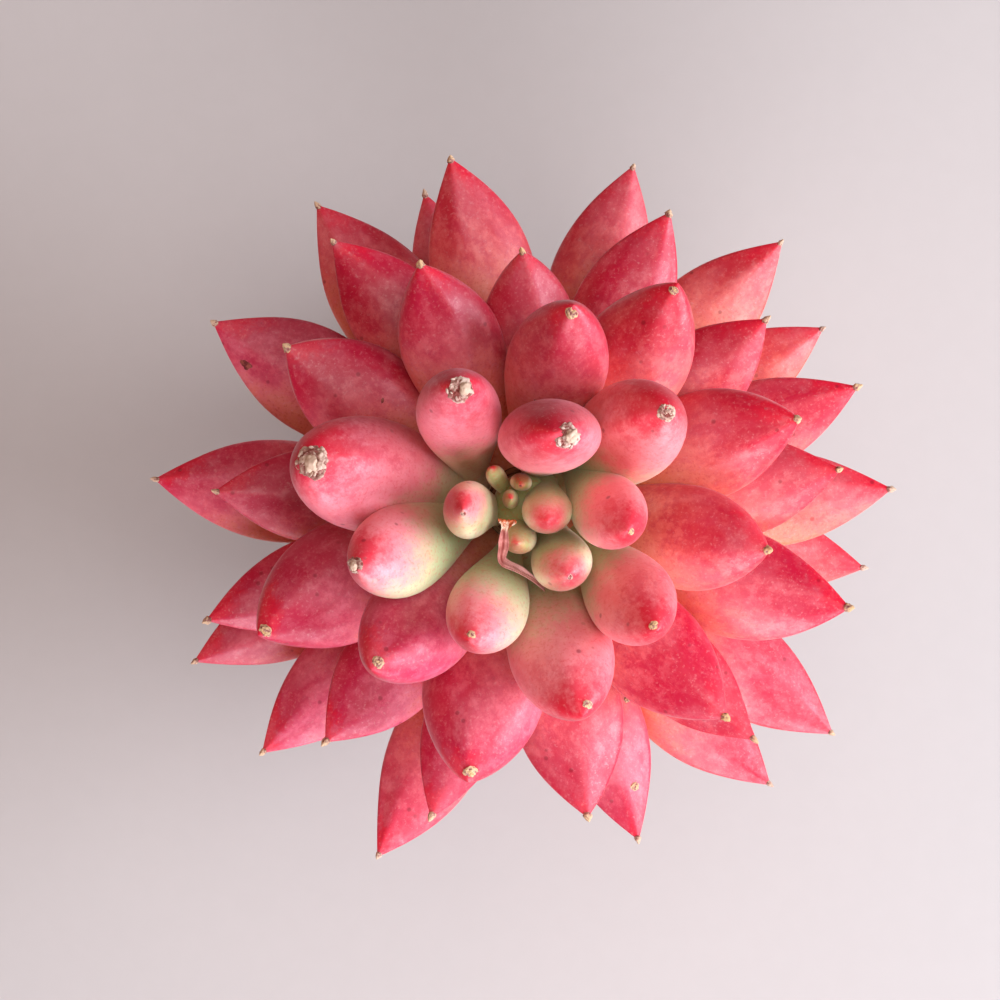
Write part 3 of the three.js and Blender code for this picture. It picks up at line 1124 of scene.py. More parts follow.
def finish_piece(
    mesh: Mesh,
    name: str,
    material: Material,
    node: str,
    smooth: bool = True,
) -> bpy.types.Object:
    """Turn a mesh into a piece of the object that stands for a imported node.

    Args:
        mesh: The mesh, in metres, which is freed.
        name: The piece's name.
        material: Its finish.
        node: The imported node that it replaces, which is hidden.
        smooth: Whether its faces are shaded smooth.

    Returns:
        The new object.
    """
    bmesh.ops.recalc_face_normals(mesh, faces=mesh.faces[:])
    for face in mesh.faces:
        face.smooth = smooth
    data = bpy.data.meshes.new(name)
    mesh.to_mesh(data)
    mesh.free()
    piece = bpy.data.objects.new(name, data)
    bpy.context.scene.collection.objects.link(piece)
    data.materials.append(material)
    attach(piece, "root")
    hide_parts(node)
    LOG.info("%s: %d faces", name, len(data.polygons))
    return piece


@dataclass
class Rosette:
    """The stem and its red leaves, from the spreading whorls up to the standing leaf."""

    around: int = 44
    rows: int = 48
    whorl_size: int = 7
    leaves: list[Leaf] = field(default_factory=list)

    def __post_init__(self) -> None:
        """List the leaves in order, from the lowest."""
        self.leaves = [self.whorl_leaf(order) for order in range(len(WHORL_LEAVES))]
        count = len(self.leaves)
        for order, (row, youth, flush) in enumerate(zip(UPRIGHT_LEAVES, UPRIGHT_YOUTH, UPRIGHT_FLUSH)):
            self.leaves.append(upright_leaf(row, count + order, youth, flush))
        standing = upright_leaf(STANDING_LEAF, len(self.leaves), STANDING_LEAF_YOUTH, STANDING_LEAF_FLUSH)
        self.leaves.append(replace(standing, roll=STANDING_LEAF_ROLL, thickness=STANDING_LEAF_THICKNESS))

    @staticmethod
    def whorl_leaf(order: int) -> Leaf:
        """Give a spreading leaf whose root takes its turn on the way up the stem.

        Args:
            order: The leaf's number from the lowest.

        Returns:
            The leaf.
        """
        azimuth, reach, rise, width, blunt, sweep = WHORL_LEAVES[order]
        share = order / (len(WHORL_LEAVES) - 1)
        height = CROWN_LOW + CROWN_CLIMB * share ** 1.05
        draw = random.Random(WHORL_SEED + order)
        flush = 0.3 + 0.55 * smoothstep(0.2, 0.5, share) - 0.2 * smoothstep(0.85, 1.0, share)
        return Leaf(
            root=polar(azimuth, LEAF_ROOT_RADIUS, height),
            tip=polar(azimuth, reach, height + rise),
            width=width,
            blunt=blunt,
            sweep=sweep,
            thickness=LEAF_THICKNESS + 0.1 * blunt,
            youth=0.3 * smoothstep(0.7, 1.0, share) + 0.35 * smoothstep(0.93, 0.95, share),
            # the term by azimuth is a painted light tint: leaves towards the window side warmer, those on
            # the far side cooler; the random term is the leaf's own tone
            warmth=0.45 + 0.35 * math.cos(math.radians(azimuth - 20)) + draw.uniform(-0.2, 0.2),
            flush=flush + draw.uniform(-0.12, 0.15),
            ridge=smoothstep(0.55, 0.2, blunt) * smoothstep(0.9, 0.5, share),
            keel=draw.uniform(0.4, 1.0),
            keel_lean=draw.uniform(-24, 24),
            seed=order,
        )

    def build(self, flesh: Material, bark: Material) -> None:
        """Build the stem and the whorls.

        Args:
            flesh: Finish of the leaves.
            bark: Finish of the stem.
        """
        for start in range(0, len(self.leaves), self.whorl_size):
            mesh = bmesh.new()
            SkinLayers.add(mesh)
            for leaf in self.leaves[start:start + self.whorl_size]:
                leaf.add_to(mesh, self.around, self.rows)
            finish_piece(mesh, f"leaf_whorl_{start // self.whorl_size + 1}", flesh, "rosette")
        self.build_stem(bark)

    @staticmethod
    def build_stem(bark: Material) -> None:
        """Build the stem by turning its outline, with low rings where old leaves fell.

        Args:
            bark: Finish of the stem.
        """
        mesh = bmesh.new()
        outline = [(0.0, STEM_FOOT), (STEM_RADIUS - 0.6, STEM_FOOT), (STEM_RADIUS, STEM_FOOT + 1)]
        bare_top = CROWN_LOW - 4
        steps = 22
        for step in range(steps + 1):
            share = step / steps
            height = STEM_FOOT + 2 + (bare_top - STEM_FOOT - 2) * share
            swell = STEM_RADIUS + (STEM_CROWN_RADIUS - STEM_RADIUS) * smoothstep(0.7, 1.0, share)
            outline.append((swell - (STEM_RING_DEPTH if step % 2 else 0.0), height))
        outline += [
            (STEM_CROWN_RADIUS, CROWN_LOW + CROWN_CLIMB),
            (STEM_CROWN_RADIUS - 1.4, STEM_TOP - 1),
            (0.0, STEM_TOP),
        ]
        turn_outline(mesh, outline, STEM_SIDES)
        for vert in mesh.verts:
            spot = vert.co / MM
            radial = Vector((spot.x, spot.y, 0))
            if radial.length > 1:
                vert.co -= radial.normalized() * MM * 0.12 * (1 + noise.noise(spot * 0.6))
        finish_piece(mesh, "stem", bark, "rosette")


def upright_leaf(
    row: tuple[float, ...],
    order: int,
    youth: float,
    flush: float,
    base: float = UPRIGHT_ROOT_WIDTH,
) -> Leaf:
    """Give a leaf that stands up round the heart.

    Args:
        row: Its line in the table.
        order: Its number from the lowest leaf.
        youth: How pale and green its root is, from 0 on a grown leaf to 2.4 on the smallest bud; from 1
            upward it also lays the painted shade of the deep heart.
        flush: How red its tip is, from 0 to 1.
        base: Width of its root as a share of its widest.

    Returns:
        The leaf.
    """
    azimuth, reach, height, width, blunt, sweep, root_azimuth, root_reach, root_height = row
    draw = random.Random(UPRIGHT_SEED + order)
    return Leaf(
        root=polar(root_azimuth, root_reach, root_height),
        tip=polar(azimuth, reach, height),
        width=width,
        blunt=blunt,
        sweep=sweep,
        base=base,
        thickness=LEAF_THICKNESS + 0.1 * blunt,
        youth=youth,
        # the term by azimuth is a painted light tint: leaves towards the window side warmer, those on the
        # far side cooler; the random term is the leaf's own tone
        warmth=0.5 + 0.3 * math.cos(math.radians(azimuth + 20)) + draw.uniform(-0.1, 0.1),
        flush=flush,
        seed=order,
    )


def turn_outline(mesh: Mesh, outline: list[tuple[float, float]], steps: int) -> None:
    """Turn an outline round the upright axis into a closed skin.

    Args:
        mesh: The mesh that it joins.
        outline: Radius and height of each point, in millimetres, starting and ending on the axis.
        steps: Faces round the axis.
    """
    verts = [mesh.verts.new((radius * MM, 0, height * MM)) for radius, height in outline]
    edges = [mesh.edges.new(pair) for pair in zip(verts, verts[1:])]
    bmesh.ops.spin(
        mesh,
        geom=verts + edges,
        cent=(0, 0, 0),
        axis=(0, 0, 1),
        angle=2 * math.pi,
        steps=steps,
        use_merge=True,
    )
    bmesh.ops.remove_doubles(mesh, verts=mesh.verts[:], dist=1e-6)
    bmesh.ops.recalc_face_normals(mesh, faces=mesh.faces[:])


@dataclass
class Heart:
    """The young pale leaves, the buds and the growing tip."""

    around: int = 36
    rows: int = 40
    leaves: list[Leaf] = field(default_factory=list)

    def __post_init__(self) -> None:
        """List the heart's leaves."""
        for order, (row, (youth, flush)) in enumerate(zip(HEART_LEAVES, HEART_TONES)):
            self.leaves.append(upright_leaf(row, HEART_ORDER + order, youth, flush, HEART_ROOT_WIDTH))

    def build(self, flesh: Material) -> None:
        """Build the heart as one piece.

        Args:
            flesh: Finish of the leaves.
        """
        mesh = bmesh.new()
        SkinLayers.add(mesh)
        for leaf in self.leaves:
            leaf.add_to(mesh, self.around, self.rows)
        youth = mesh.verts.layers.float["youth"]
        place = mesh.verts.layers.float_vector[SkinLayers.PLACE]
        tip = bmesh.ops.create_uvsphere(
            mesh,
            u_segments=32,
            v_segments=20,
            radius=GROWING_TIP_RADIUS * MM,
            matrix=Matrix.Translation((0, 0, GROWING_TIP_HEIGHT * MM)),
        )["verts"]
        for vert in tip:
            vert[youth] = GROWING_TIP_YOUTH
            vert[place] = vert.co / MM
        finish_piece(mesh, "heart_leaves_fine", flesh, "heart_leaves")


@dataclass
class FlowerStalk:
    """The dried, folded ribbon that is left of a flower stalk."""

    width: float = STALK_WIDTH
    thickness: float = 0.16
    steps: int = 60
    cuts: int = 13

    def build(self, paper: Material) -> None:
        """Build the ribbon as a cube drawn out, twisted and creased along its path.

        Args:
            paper: Finish of the ribbon.
        """
        mesh = bmesh.new()
        along = mesh.verts.layers.float.new("along")
        fold = mesh.verts.layers.float.new("fold")
        bmesh.ops.create_cube(mesh, size=1)
        for axis, cuts in ((2, self.steps), (0, self.cuts)):
            edges = []
            for edge in mesh.edges:
                start, end = edge.verts
                if abs(start.co[axis] - end.co[axis]) > 0.5:
                    edges.append(edge)
            bmesh.ops.subdivide_edges(mesh, edges=edges, cuts=cuts, use_grid_fill=True)
        for vert in mesh.verts:
            share = vert.co.z + 0.5
            across = vert.co.x * 2
            frayed = smoothstep(0.86, 1.0, share)
            tear = noise.noise(Vector((across * 3.2, 9.0, 0))) + 0.8 * across
            centre, forward = self.path(share - 0.05 * frayed + 0.05 * frayed * tear)
            side = forward.cross(Vector((0.3, 0.2, 1))).normalized()
            twist = Matrix.Rotation(0.4 * math.sin(5.2 * share - 0.6) - 0.2, 3, forward)
            side = twist @ side
            lift = side.cross(forward)
            wrinkle = noise.noise(Vector((across * 0.8, share * 9, 2)))
            broad = 0.42 + 0.32 * smoothstep(0.1, 0.5, share) - 0.24 * smoothstep(0.7, 0.86, share)
            spread = self.width / 2 * (broad + 0.1 * wrinkle + 0.8 * frayed)
            channel = 0.42 * (across * across - 0.4) * (1 - 0.6 * frayed) + 0.16 * wrinkle
            channel += 0.1 * math.cos(9 * across + 4 * share)
            vert[along] = share
            vert[fold] = 0.5 + channel
            rise = channel * self.width / 2 + vert.co.y * self.thickness * (1 - 0.5 * across * across)
            vert.co = (centre + side * (across * spread) + lift * rise) * MM
        finish_piece(mesh, "dried_flower_stalk_fine", paper, "dried_flower_stalk")

    @staticmethod
    def path(share: float) -> tuple[Vector, Vector]:
        """Follow the ribbon's middle line, a smooth curve through its points.

        Args:
            share: Place along it, from 0 at the foot to 1 at the end.

        Returns:
            The point and the line's direction there.
        """
        points = [Vector(point) for point in STALK_POINTS]
        last = len(points) - 1
        spot = min(max(share, 0.0), 0.9999) * last
        index = int(spot)
        part = spot - index
        before = points[max(index - 1, 0)]
        start, end = points[index], points[index + 1]
        after = points[min(index + 2, last)]
        centre = 0.5 * (
            2 * start
            + (end - before) * part
            + (2 * before - 5 * start + 4 * end - after) * part ** 2
            + (3 * start - before - 3 * end + after) * part ** 3
        )
        slope = 0.5 * (
            (end - before)
            + 2 * (2 * before - 5 * start + 4 * end - after) * part
            + 3 * (3 * start - before - 3 * end + after) * part ** 2
        )
        return centre, slope.normalized()


@dataclass(frozen=True)
class Scar:
    """A corky patch where a leaf's tip has died back."""

    leaf: int
    station: float
    angle: float
    radius: float
    flakes: int
    ochre: float = 0.75
    core: tuple[float, float, float] = (0.0, 0.0, 0.0)

    def at_tip(self) -> bool:
        """Say whether the scar stands at the very end of its leaf."""
        return self.station > 0.9


# leaf, station, direction round it, radius, flakes, tan tone, then the east and north
# place and the radius of a lump that stands on the scar
SCARS = (
    Scar(39, 0.985, 95, 2.0, 26, 0.15, (0.1, -0.1, 0.95)),
    Scar(43, 0.985, 110, 1.45, 22, 0.1, (0.55, 0.15, 0.7)),
    Scar(47, 0.98, 150, 1.4, 18, 0.05, (0.5, 0.1, 0.75)),
    Scar(41, 0.99, 120, 1.05, 16, 0.25),
    Scar(42, 0.99, 200, 1.0, 12, 0.05, (-0.1, -0.1, 0.5)),
    Scar(33, 0.975, 90, 0.9, 5),
    Scar(29, 0.98, 90, 0.85, 5),
    Scar(37, 0.98, 90, 0.75, 5, 0.6),
    Scar(38, 0.98, 90, 0.75, 5),
    Scar(35, 0.98, 90, 0.65, 5),
    Scar(44, 0.985, 80, 0.55, 4, 0.9),
    Scar(45, 0.985, 95, 0.5, 4),
    Scar(46, 0.99, 290, 0.4, 4),
    Scar(40, 0.97, 45, 0.6, 4, 0.6),
    Scar(48, 0.99, 305, 0.34, 4, 0.1),
    Scar(49, 0.99, 10, 0.32, 4, 0.2),
    Scar(8, 0.84, 60, 0.6, 4),
    Scar(8, 0.57, 40, 0.45, 3),
)

# leaf, station, direction round it, radius
BLEMISHES = (
    (14, 0.85, 50, 1.1),
    (34, 0.72, 90, 0.55),
    (38, 0.5, 80, 0.6),
    (32, 0.55, 75, 0.45),
    (20, 0.7, 90, 0.4),
    (15, 0.4, 90, 0.4),
    (28, 0.6, 100, 0.35),
    (53, 0.995, 90, 0.18),
)


@dataclass
class DriedMarks:
    """Dried tips, corky scars and dark marks on the leaves."""

    tip_length: float = 0.62
    tip_radius: float = 0.46

    def build(self, leaves: list[Leaf], cork: Material, mark: Material) -> None:
        """Build the three kinds of mark.

        Args:
            leaves: The leaves in order, from the lowest to the heart.
            cork: Finish of the tips and scars.
            mark: Finish of the dark marks.
        """
        scarred = {scar.leaf for scar in SCARS if scar.at_tip()}
        mesh = self.cork_mesh()
        for order, leaf in enumerate(leaves[:len(WHORL_LEAVES)]):
            if order not in scarred:
                self.add_tip(mesh, leaf, order / len(WHORL_LEAVES), random.Random(TIP_SEED + order))
        finish_piece(mesh, "dried_leaf_tips", cork, "rosette")
        mesh = self.cork_mesh()
        for number, scar in enumerate(SCARS):
            self.add_scar(mesh, leaves[scar.leaf], scar, random.Random(SCAR_SEED + number))
        finish_piece(mesh, "corky_scars", cork, "rosette")
        mesh = bmesh.new()
        for order, station, angle, radius in BLEMISHES:
            spot, out = leaves[order].place(station, math.radians(angle))
            add_lump(mesh, spot - out * radius * 0.12, out, (radius, radius * 0.7, radius * 0.16), order, 3)
        finish_piece(mesh, "leaf_marks", mark, "rosette")

    @staticmethod
    def cork_mesh() -> Mesh:
        """Start a mesh with the attributes that the cork finish reads.

        Returns:
            The empty mesh.
        """
        mesh = bmesh.new()
        mesh.verts.layers.float.new("crest")
        mesh.verts.layers.float.new("ochre")
        return mesh

    def add_tip(self, mesh: Mesh, leaf: Leaf, rank: float, draw: random.Random) -> None:
        """Add the small dry point at the end of a leaf.

        Args:
            mesh: The mesh that it joins.
            leaf: The leaf.
            rank: The leaf's place from the lowest at 0 to the highest at 1.
            draw: Source of its random sizes.
        """
        centre, forward, side, up = leaf.ring(0.995)
        length = self.tip_length * draw.uniform(0.7, 1.3)
        base = self.tip_radius * (0.72 + 0.45 * rank) * draw.uniform(0.85, 1.2)
        sink = 0.55 + 0.25 * leaf.blunt
        part = self.cork_mesh()
        crest = part.verts.layers.float["crest"]
        ochre = part.verts.layers.float["ochre"]
        tone = draw.uniform(0.2, 0.55) + 0.6 * rank
        bmesh.ops.create_uvsphere(part, u_segments=18, v_segments=16, radius=1)
        lean = side * draw.uniform(-0.5, 0.5) + up * draw.uniform(-0.1, 0.7)
        for vert in part.verts:
            share = (vert.co.z + 1) / 2
            width = base * (1.1 - 0.72 * share ** 1.5)
            rough = noise.noise(vert.co * 2.6 + Vector((leaf.seed * 3.0, 0, 0)))
            spot = centre + forward * (-sink + (length + sink) * share) + lean * (0.35 * share ** 2)
            spot += (side * vert.co.x + up * vert.co.y) * width * (1 + 0.45 * rough)
            # paler towards the point and on the raised bumps: partly the tissue's own colour, partly painted
            # highlight
            vert[crest] = 0.3 + 0.55 * share + 0.55 * rough
            vert[ochre] = tone
            vert.co = spot * MM
        join(mesh, part)

    def add_scar(self, mesh: Mesh, leaf: Leaf, scar: Scar, draw: random.Random) -> None:
        """Add a crusty disc with a raised ring and flakes standing on it.

        Args:
            mesh: The mesh that it joins.
            leaf: The leaf that it lies on.
            scar: Its place and size.
            draw: Source of its random sizes.
        """
        spot, out = leaf.place(scar.station, math.radians(scar.angle))
        if scar.at_tip():
            _, forward, _, _ = leaf.ring(scar.station)
            out = (out * 0.55 + forward * 0.7).normalized()
        turn = out.to_track_quat("Z", "Y").to_matrix()
        part = self.cork_mesh()
        crest = part.verts.layers.float["crest"]
        ochre = part.verts.layers.float["ochre"]
        offset = Vector((draw.uniform(0, 50), draw.uniform(0, 50), 0))
        bmesh.ops.create_icosphere(part, subdivisions=5, radius=1)
        for vert in part.verts:
            flat = math.hypot(vert.co.x, vert.co.y)
            craggy = 1 - 2 * abs(noise.noise(vert.co * 2.1 + offset))
            fine = noise.noise(vert.co * 5 + offset)
            patch = noise.noise(vert.co * 1.5 + offset)
            ring = math.exp(-(((flat - 0.75) / 0.2) ** 2))
            wide = 0.9 + 0.26 * patch + 0.12 * fine
            rise = 0.16 + 0.1 * ring + 0.16 * craggy * craggy * (1 - flat ** 4) + 0.1 * fine
            rise += 0.22 * scar.ochre * (1 - flat * flat)
            # paler on raised crags and patches: partly the tissue's own colour, partly painted highlight
            vert[crest] = 0.2 + 0.6 * patch + 0.2 * max(craggy, 0) + 0.25 * fine + 0.3 * scar.ochre
            vert[ochre] = scar.ochre + 0.3 * (1 - flat) ** 2
            local = Vector((vert.co.x * wide, vert.co.y * wide, vert.co.z * rise)) * scar.radius
            vert.co = (spot - out * 0.1 * scar.radius + turn @ local) * MM
        join(mesh, part)
        east, north, size = scar.core
        if size > 0:
            centre = spot + Vector((east, north, 0)) + out * 0.3 * size
            tones = {"crest": 0.78, "ochre": 0.3}
            add_lump(mesh, centre, out, (size, 0.85 * size, 0.62 * size), draw.randrange(999), 4, tones)
        for _ in range(scar.flakes):
            bearing = draw.uniform(0, 2 * math.pi)
            reach = scar.radius * math.sqrt(draw.random()) * 0.95
            across = turn @ Vector((math.cos(bearing), math.sin(bearing), 0))
            centre = spot + across * reach + out * (0.16 * scar.radius - 0.25 * reach * reach / scar.radius)
            size = scar.radius * draw.uniform(0.12, 0.26)
            tilt = (out + (turn @ Vector((draw.uniform(-1, 1), draw.uniform(-1, 1), 0))) * 0.6).normalized()
            radii = (size, size * draw.uniform(0.4, 0.9), size * draw.uniform(0.2, 0.5))
            tones = {"crest": draw.uniform(0.35, 1.0), "ochre": scar.ochre}
            add_lump(mesh, centre, tilt, radii, draw.randrange(999), 3, tones)


def add_lump(
    mesh: Mesh,
    centre: Vector,
    out: Vector,
    radii: tuple[float, float, float],
    seed: int,
    fine: int,
    numbers: dict[str, float] | None = None,
) -> None:
    """Add a rough lump.

    Args:
        mesh: The mesh that it joins.
        centre: Its middle, in millimetres.
        out: Direction that its low side faces.
        radii: Its two widths and its height.
        seed: Number that picks its roughness.
        fine: Subdivisions of its sphere.
        numbers: Attributes that are the same all over it.
    """
    part = bmesh.new()
    for name in numbers or {}:
        part.verts.layers.float.new(name)
    bmesh.ops.create_icosphere(part, subdivisions=fine, radius=1)
    turn = out.to_track_quat("Z", "Y").to_matrix()
    offset = Vector((seed * 3.1, seed * 1.7, 0))
    for vert in part.verts:
        rough = 1 + 0.28 * noise.noise(vert.co * 1.9 + offset) + 0.14 * noise.noise(vert.co * 5 + offset)
        local = Vector((vert.co.x * radii[0], vert.co.y * radii[1], vert.co.z * radii[2])) * rough
        for name, number in (numbers or {}).items():
            vert[part.verts.layers.float[name]] = number
        vert.co = (centre + turn @ local) * MM
    join(mesh, part)


@dataclass
class ClayPot:
    """The round pot with its rim band and drain holes."""

    sides: int = 128

    def build(self, clay: Material) -> None:
        """Build the pot by turning its outline and boring the drain holes.

        Args:
            clay: Finish of the pot.
        """
        rim_inner = POT_RIM_RADIUS - POT_WALL - POT_RIM_TAPER
        band_foot = POT_HEIGHT - POT_RIM_BAND
        floor_inner = POT_BASE_RADIUS - POT_WALL
        outline = [
            (0.0, 0.0),
            (POT_BASE_RADIUS - POT_EDGE, 0.0),
            (POT_BASE_RADIUS - POT_EDGE_SOFTENING, POT_EDGE_SOFTENING),
            (POT_BASE_RADIUS, POT_EDGE),
            (POT_SHOULDER_RADIUS, band_foot),
            (POT_RIM_RADIUS - 0.3, band_foot + 0.3),
            (POT_RIM_RADIUS, band_foot + POT_EDGE),
            (POT_RIM_RADIUS, POT_HEIGHT - POT_EDGE),
            (POT_RIM_RADIUS - POT_EDGE_SOFTENING, POT_HEIGHT - POT_EDGE_SOFTENING),
            (POT_RIM_RADIUS - POT_EDGE, POT_HEIGHT),
            (rim_inner + POT_EDGE, POT_HEIGHT),
            (rim_inner + POT_EDGE_SOFTENING, POT_HEIGHT - POT_EDGE_SOFTENING),
            (rim_inner, POT_HEIGHT - POT_EDGE),
            (rim_inner - 0.7, band_foot),
            (floor_inner + 0.8, POT_FLOOR + 1.2),
            (floor_inner - 0.8, POT_FLOOR),
            (0.0, POT_FLOOR),
        ]
        mesh = bmesh.new()
        turn_outline(mesh, outline, self.sides)
        piece = finish_piece(mesh, "clay_pot", clay, "pot")
        self.bore(piece)
        for face in piece.data.polygons:
            face.use_smooth = True
        piece.data.set_sharp_from_angle(angle=math.radians(38))

    @staticmethod
    def bore(piece: bpy.types.Object) -> None:
        """Bore the drain holes through the pot's floor.

        Args:
            piece: The pot.
        """
        mesh = bmesh.new()
        for hole in range(DRAIN_HOLES):
            spot = polar(360 * hole / DRAIN_HOLES, DRAIN_CIRCLE_RADIUS, 0) * MM
            bmesh.ops.create_cone(
                mesh,
                cap_ends=True,
                segments=32,
                radius1=DRAIN_HOLE_RADIUS * MM,
                radius2=DRAIN_HOLE_RADIUS * MM,
                depth=4 * POT_FLOOR * MM,
                matrix=Matrix.Translation(spot),
            )
        data = bpy.data.meshes.new("drill")
        mesh.to_mesh(data)
        mesh.free()
        drill = bpy.data.objects.new("drill", data)
        bpy.context.scene.collection.objects.link(drill)
        cut = piece.modifiers.new("drain_holes", "BOOLEAN")
        cut.operation = "DIFFERENCE"
        cut.solver = "EXACT"
        cut.object = drill
        bpy.context.view_layer.update()
        shaped = bpy.data.meshes.new_from_object(piece.evaluated_get(bpy.context.evaluated_depsgraph_get()))
        piece.modifiers.clear()
        piece.data = shaped
        bpy.data.objects.remove(drill)


@dataclass
class PottingMix:
    """The gritty mix in the pot, with loose grains on top."""

    grains: int = 520

    @staticmethod
    def radius_at(height: float) -> float:
        """Give the mix's radius.

        Args:
            height: Height inside the pot.

        Returns:
            The radius, which leaves a thin gap to the wall.
        """
        floor_inner = POT_BASE_RADIUS - POT_WALL + 0.8
        band_inner = POT_RIM_RADIUS - POT_WALL - 1
        share = (height - POT_FLOOR - 1.2) / (POT_HEIGHT - POT_RIM_BAND - POT_FLOOR - 1.2)
        return floor_inner + (band_inner - floor_inner) * min(share, 1.0) - SEAT_GAP

    def surface(self, x: float, y: float) -> float:
        """Give the height of the mix's mounded, lumpy top.

        Args:
            x: Place across.
            y: Place along.

        Returns:
            The height.
        """
        edge = self.radius_at(SOIL_TOP) - 0.8
        hole = STEM_RADIUS + SEAT_GAP
        share = min(max((edge - math.hypot(x, y)) / (edge - hole), 0.0), 1.0)
        lump = 0.45 * noise.noise(Vector((x, y, 0)) * 0.35) + 0.3 * noise.noise(Vector((x, y, 7)) * 0.9)
        return SOIL_TOP + SOIL_MOUND * share ** 1.5 + lump

    def build(self, mix: Material, finishes: list[Material]) -> None:
        """Build the mix and its grains.

        Args:
            mix: Finish of the mix.
            finishes: Finishes of the grains, dealt out in turn.
        """
        bottom = POT_FLOOR + SEAT_GAP
        hole = STEM_RADIUS + SEAT_GAP
        edge = self.radius_at(SOIL_TOP)
        outline = [
            (0.0, bottom),
            (self.radius_at(POT_FLOOR + 1.2) - 2.2, bottom),
            (self.radius_at(POT_FLOOR + 1.2) - 0.4, POT_FLOOR + 1.6),
            (self.radius_at(POT_HEIGHT - POT_RIM_BAND), POT_HEIGHT - POT_RIM_BAND),
            (edge, SOIL_TOP - 1.2),
        ]
        rings = 30
        for ring in range(rings + 1):
            outline.append((edge - 0.8 + (hole - edge + 0.8) * ring / rings, SOIL_TOP))
        outline += [(hole, STEM_FOOT - SEAT_GAP), (0.0, STEM_FOOT - SEAT_GAP)]
        mesh = bmesh.new()
        turn_outline(mesh, outline, SOIL_SIDES)
        for vert in mesh.verts:
            if vert.co.z > (SOIL_TOP - 0.1) * MM:
                vert.co.z = self.surface(vert.co.x / MM, vert.co.y / MM) * MM
        finish_piece(mesh, "potting_mix", mix, "soil")
        self.build_grains(finishes)

    def build_grains(self, finishes: list[Material]) -> None:
        """Scatter grit, pumice and bark over the mix.

        Args:
            finishes: Finishes of the grains, dealt out in turn.
        """
        draw = random.Random(GRAIN_SEED)
        meshes = [bmesh.new() for _ in finishes]
        edge = self.radius_at(SOIL_TOP) - 1.6
        for number in range(self.grains):
            turn = draw.uniform(0, 2 * math.pi)
            reach = math.sqrt(draw.uniform(((STEM_RADIUS + 1.4) / edge) ** 2, 1)) * edge
            size = draw.uniform(0.35, 1.15)
            x, y = reach * math.cos(turn), reach * math.sin(turn)
            out = Vector((draw.uniform(-0.5, 0.5), draw.uniform(-0.5, 0.5), 1)).normalized()
            centre = Vector((x, y, self.surface(x, y) + 0.2 * size))
            radii = (size, size * draw.uniform(0.55, 0.95), size * draw.uniform(0.45, 0.8))
            add_lump(meshes[number % len(meshes)], centre, out, radii, number, 1)
        for number, mesh in enumerate(meshes):
            finish_piece(mesh, f"grit_{number + 1}", finishes[number], "soil", smooth=False)


# Soft lamps: name, place and width of the face in millimetres, power in watts, colour.
LAMPS = (
    ("window", (480, -40, 320), 460, 4.9, "f2f2ff"),
    ("side_window", (60, -470, 300), 420, 3.1, "f4f0fa"),
    ("ceiling", (60, 60, 620), 420, 1.25, "fff0ea"),
    ("far_wall", (-460, 160, 260), 420, 0.5, "ff9c76"),
)


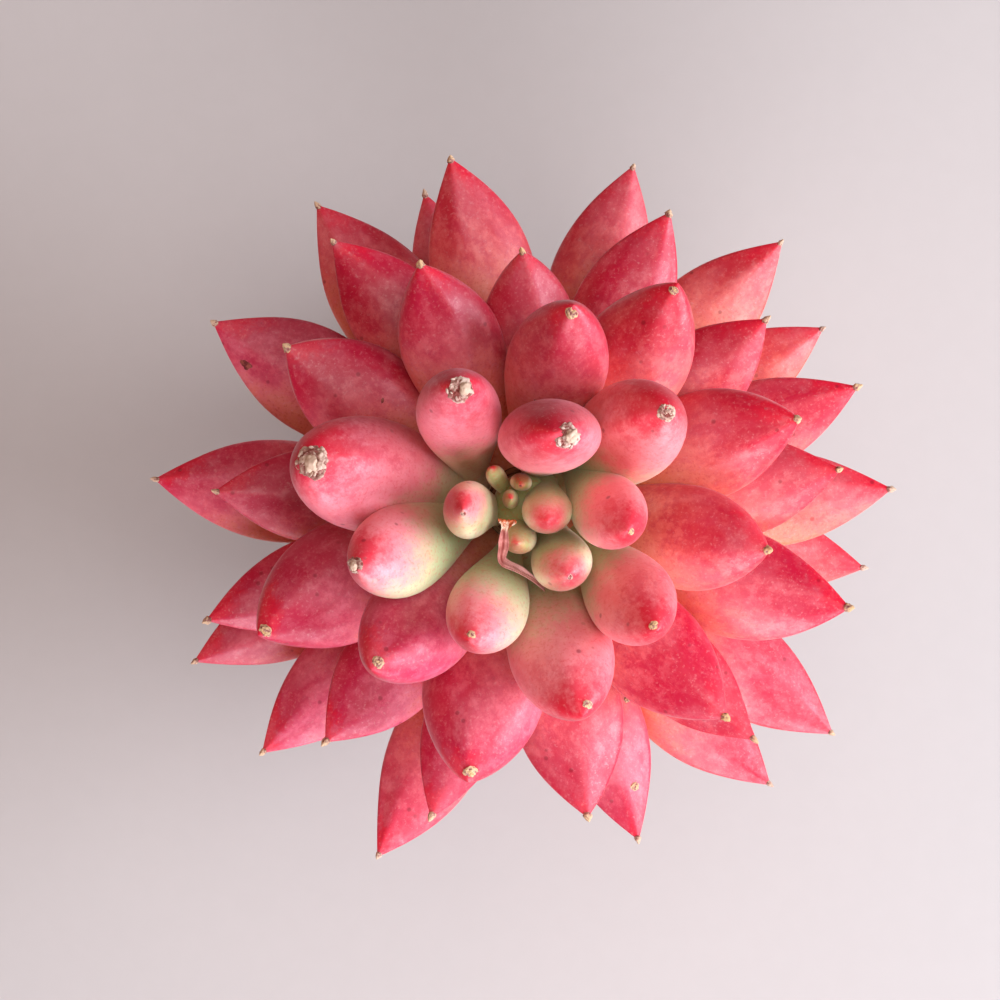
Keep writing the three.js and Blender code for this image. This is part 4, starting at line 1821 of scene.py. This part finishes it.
@dataclass
class Studio:
    """Camera, lights and the pale floor."""

    camera_place: Vector = field(default_factory=lambda: Vector((-2.8, 0.6, 365.0)))
    lens: float = 90.0
    sensor: float = 36.0
    aim_height: float = 70.0
    world_tone: str = "f2e8e0"
    world_strength: float = 0.03
    floor_half: float = 2500.0
    floor_drop: float = 0.2

    def build(self) -> None:
        """Set the camera over the rosette, and the soft light round it."""
        data = bpy.data.cameras.new("camera")
        data.lens = self.lens
        data.sensor_width = self.sensor
        data.clip_start = 0.01
        data.clip_end = 20
        camera = bpy.data.objects.new("camera", data)
        camera.location = self.camera_place * MM
        bpy.context.scene.collection.objects.link(camera)
        bpy.context.scene.camera = camera
        for name, place, size, power, tone in LAMPS:
            self.light(name, Vector(place), size, power, tone)
        world = bpy.data.worlds.new("studio_world")
        world.use_nodes = True
        background = world.node_tree.nodes["Background"]
        background.inputs["Color"].default_value = linear(self.world_tone)
        background.inputs["Strength"].default_value = self.world_strength
        bpy.context.scene.world = world
        bpy.context.scene.view_settings.view_transform = "Standard"

    def light(self, name: str, place: Vector, size: float, power: float, tone: str) -> None:
        """Add a soft lamp that faces the rosette.

        Args:
            name: The lamp's name.
            place: Its place in millimetres.
            size: Width of its face in millimetres.
            power: Its power in watts.
            tone: Its colour.
        """
        data = bpy.data.lights.new(name, "AREA")
        data.shape = "DISK"
        data.size = size * MM
        data.energy = power
        data.color = linear(tone)[:3]
        lamp = bpy.data.objects.new(name, data)
        lamp.location = place * MM
        aim = Vector((0, 0, self.aim_height)) - place
        lamp.rotation_euler = aim.to_track_quat("-Z", "Y").to_euler()
        bpy.context.scene.collection.objects.link(lamp)

    def floor(self, paper: Material) -> None:
        """Lay the pale floor under the pot.

        Args:
            paper: Its finish.
        """
        mesh = bmesh.new()
        bmesh.ops.create_grid(mesh, x_segments=8, y_segments=8, size=self.floor_half * MM)
        bmesh.ops.translate(mesh, verts=mesh.verts[:], vec=(0, 0, -self.floor_drop * MM))
        data = bpy.data.meshes.new("studio_floor")
        mesh.to_mesh(data)
        mesh.free()
        data.materials.append(paper)
        floor = bpy.data.objects.new("studio_floor", data)
        bpy.context.scene.collection.objects.link(floor)


def main() -> None:
    """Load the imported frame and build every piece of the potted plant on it."""
    logging.basicConfig(level=logging.INFO, format="%(name)s %(message)s")
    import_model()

    studio = Studio()
    studio.build()
    studio.floor(BackdropFinish().make())

    flesh = FleshFinish().make()
    cork = CorkFinish().make()
    rosette = Rosette()
    rosette.build(flesh, StemFinish().make())
    heart = Heart()
    heart.build(flesh)
    FlowerStalk().build(PaperFinish().make())
    DriedMarks().build(rosette.leaves + heart.leaves, cork, BlemishFinish().make())
    ClayPot().build(ClayFinish().make())
    grains = [
        GritFinish("pumice_grit", "cdbfae", "efe7da").make(),
        GritFinish("stone_grit", "6e6259", "a39385").make(),
        GritFinish("bark_grit", "3f2a1d", "7a5238").make(),
    ]
    PottingMix().build(GritFinish("potting_mix", "251810", "4a3424").make(), grains)


if __name__ == "__main__":
    main()
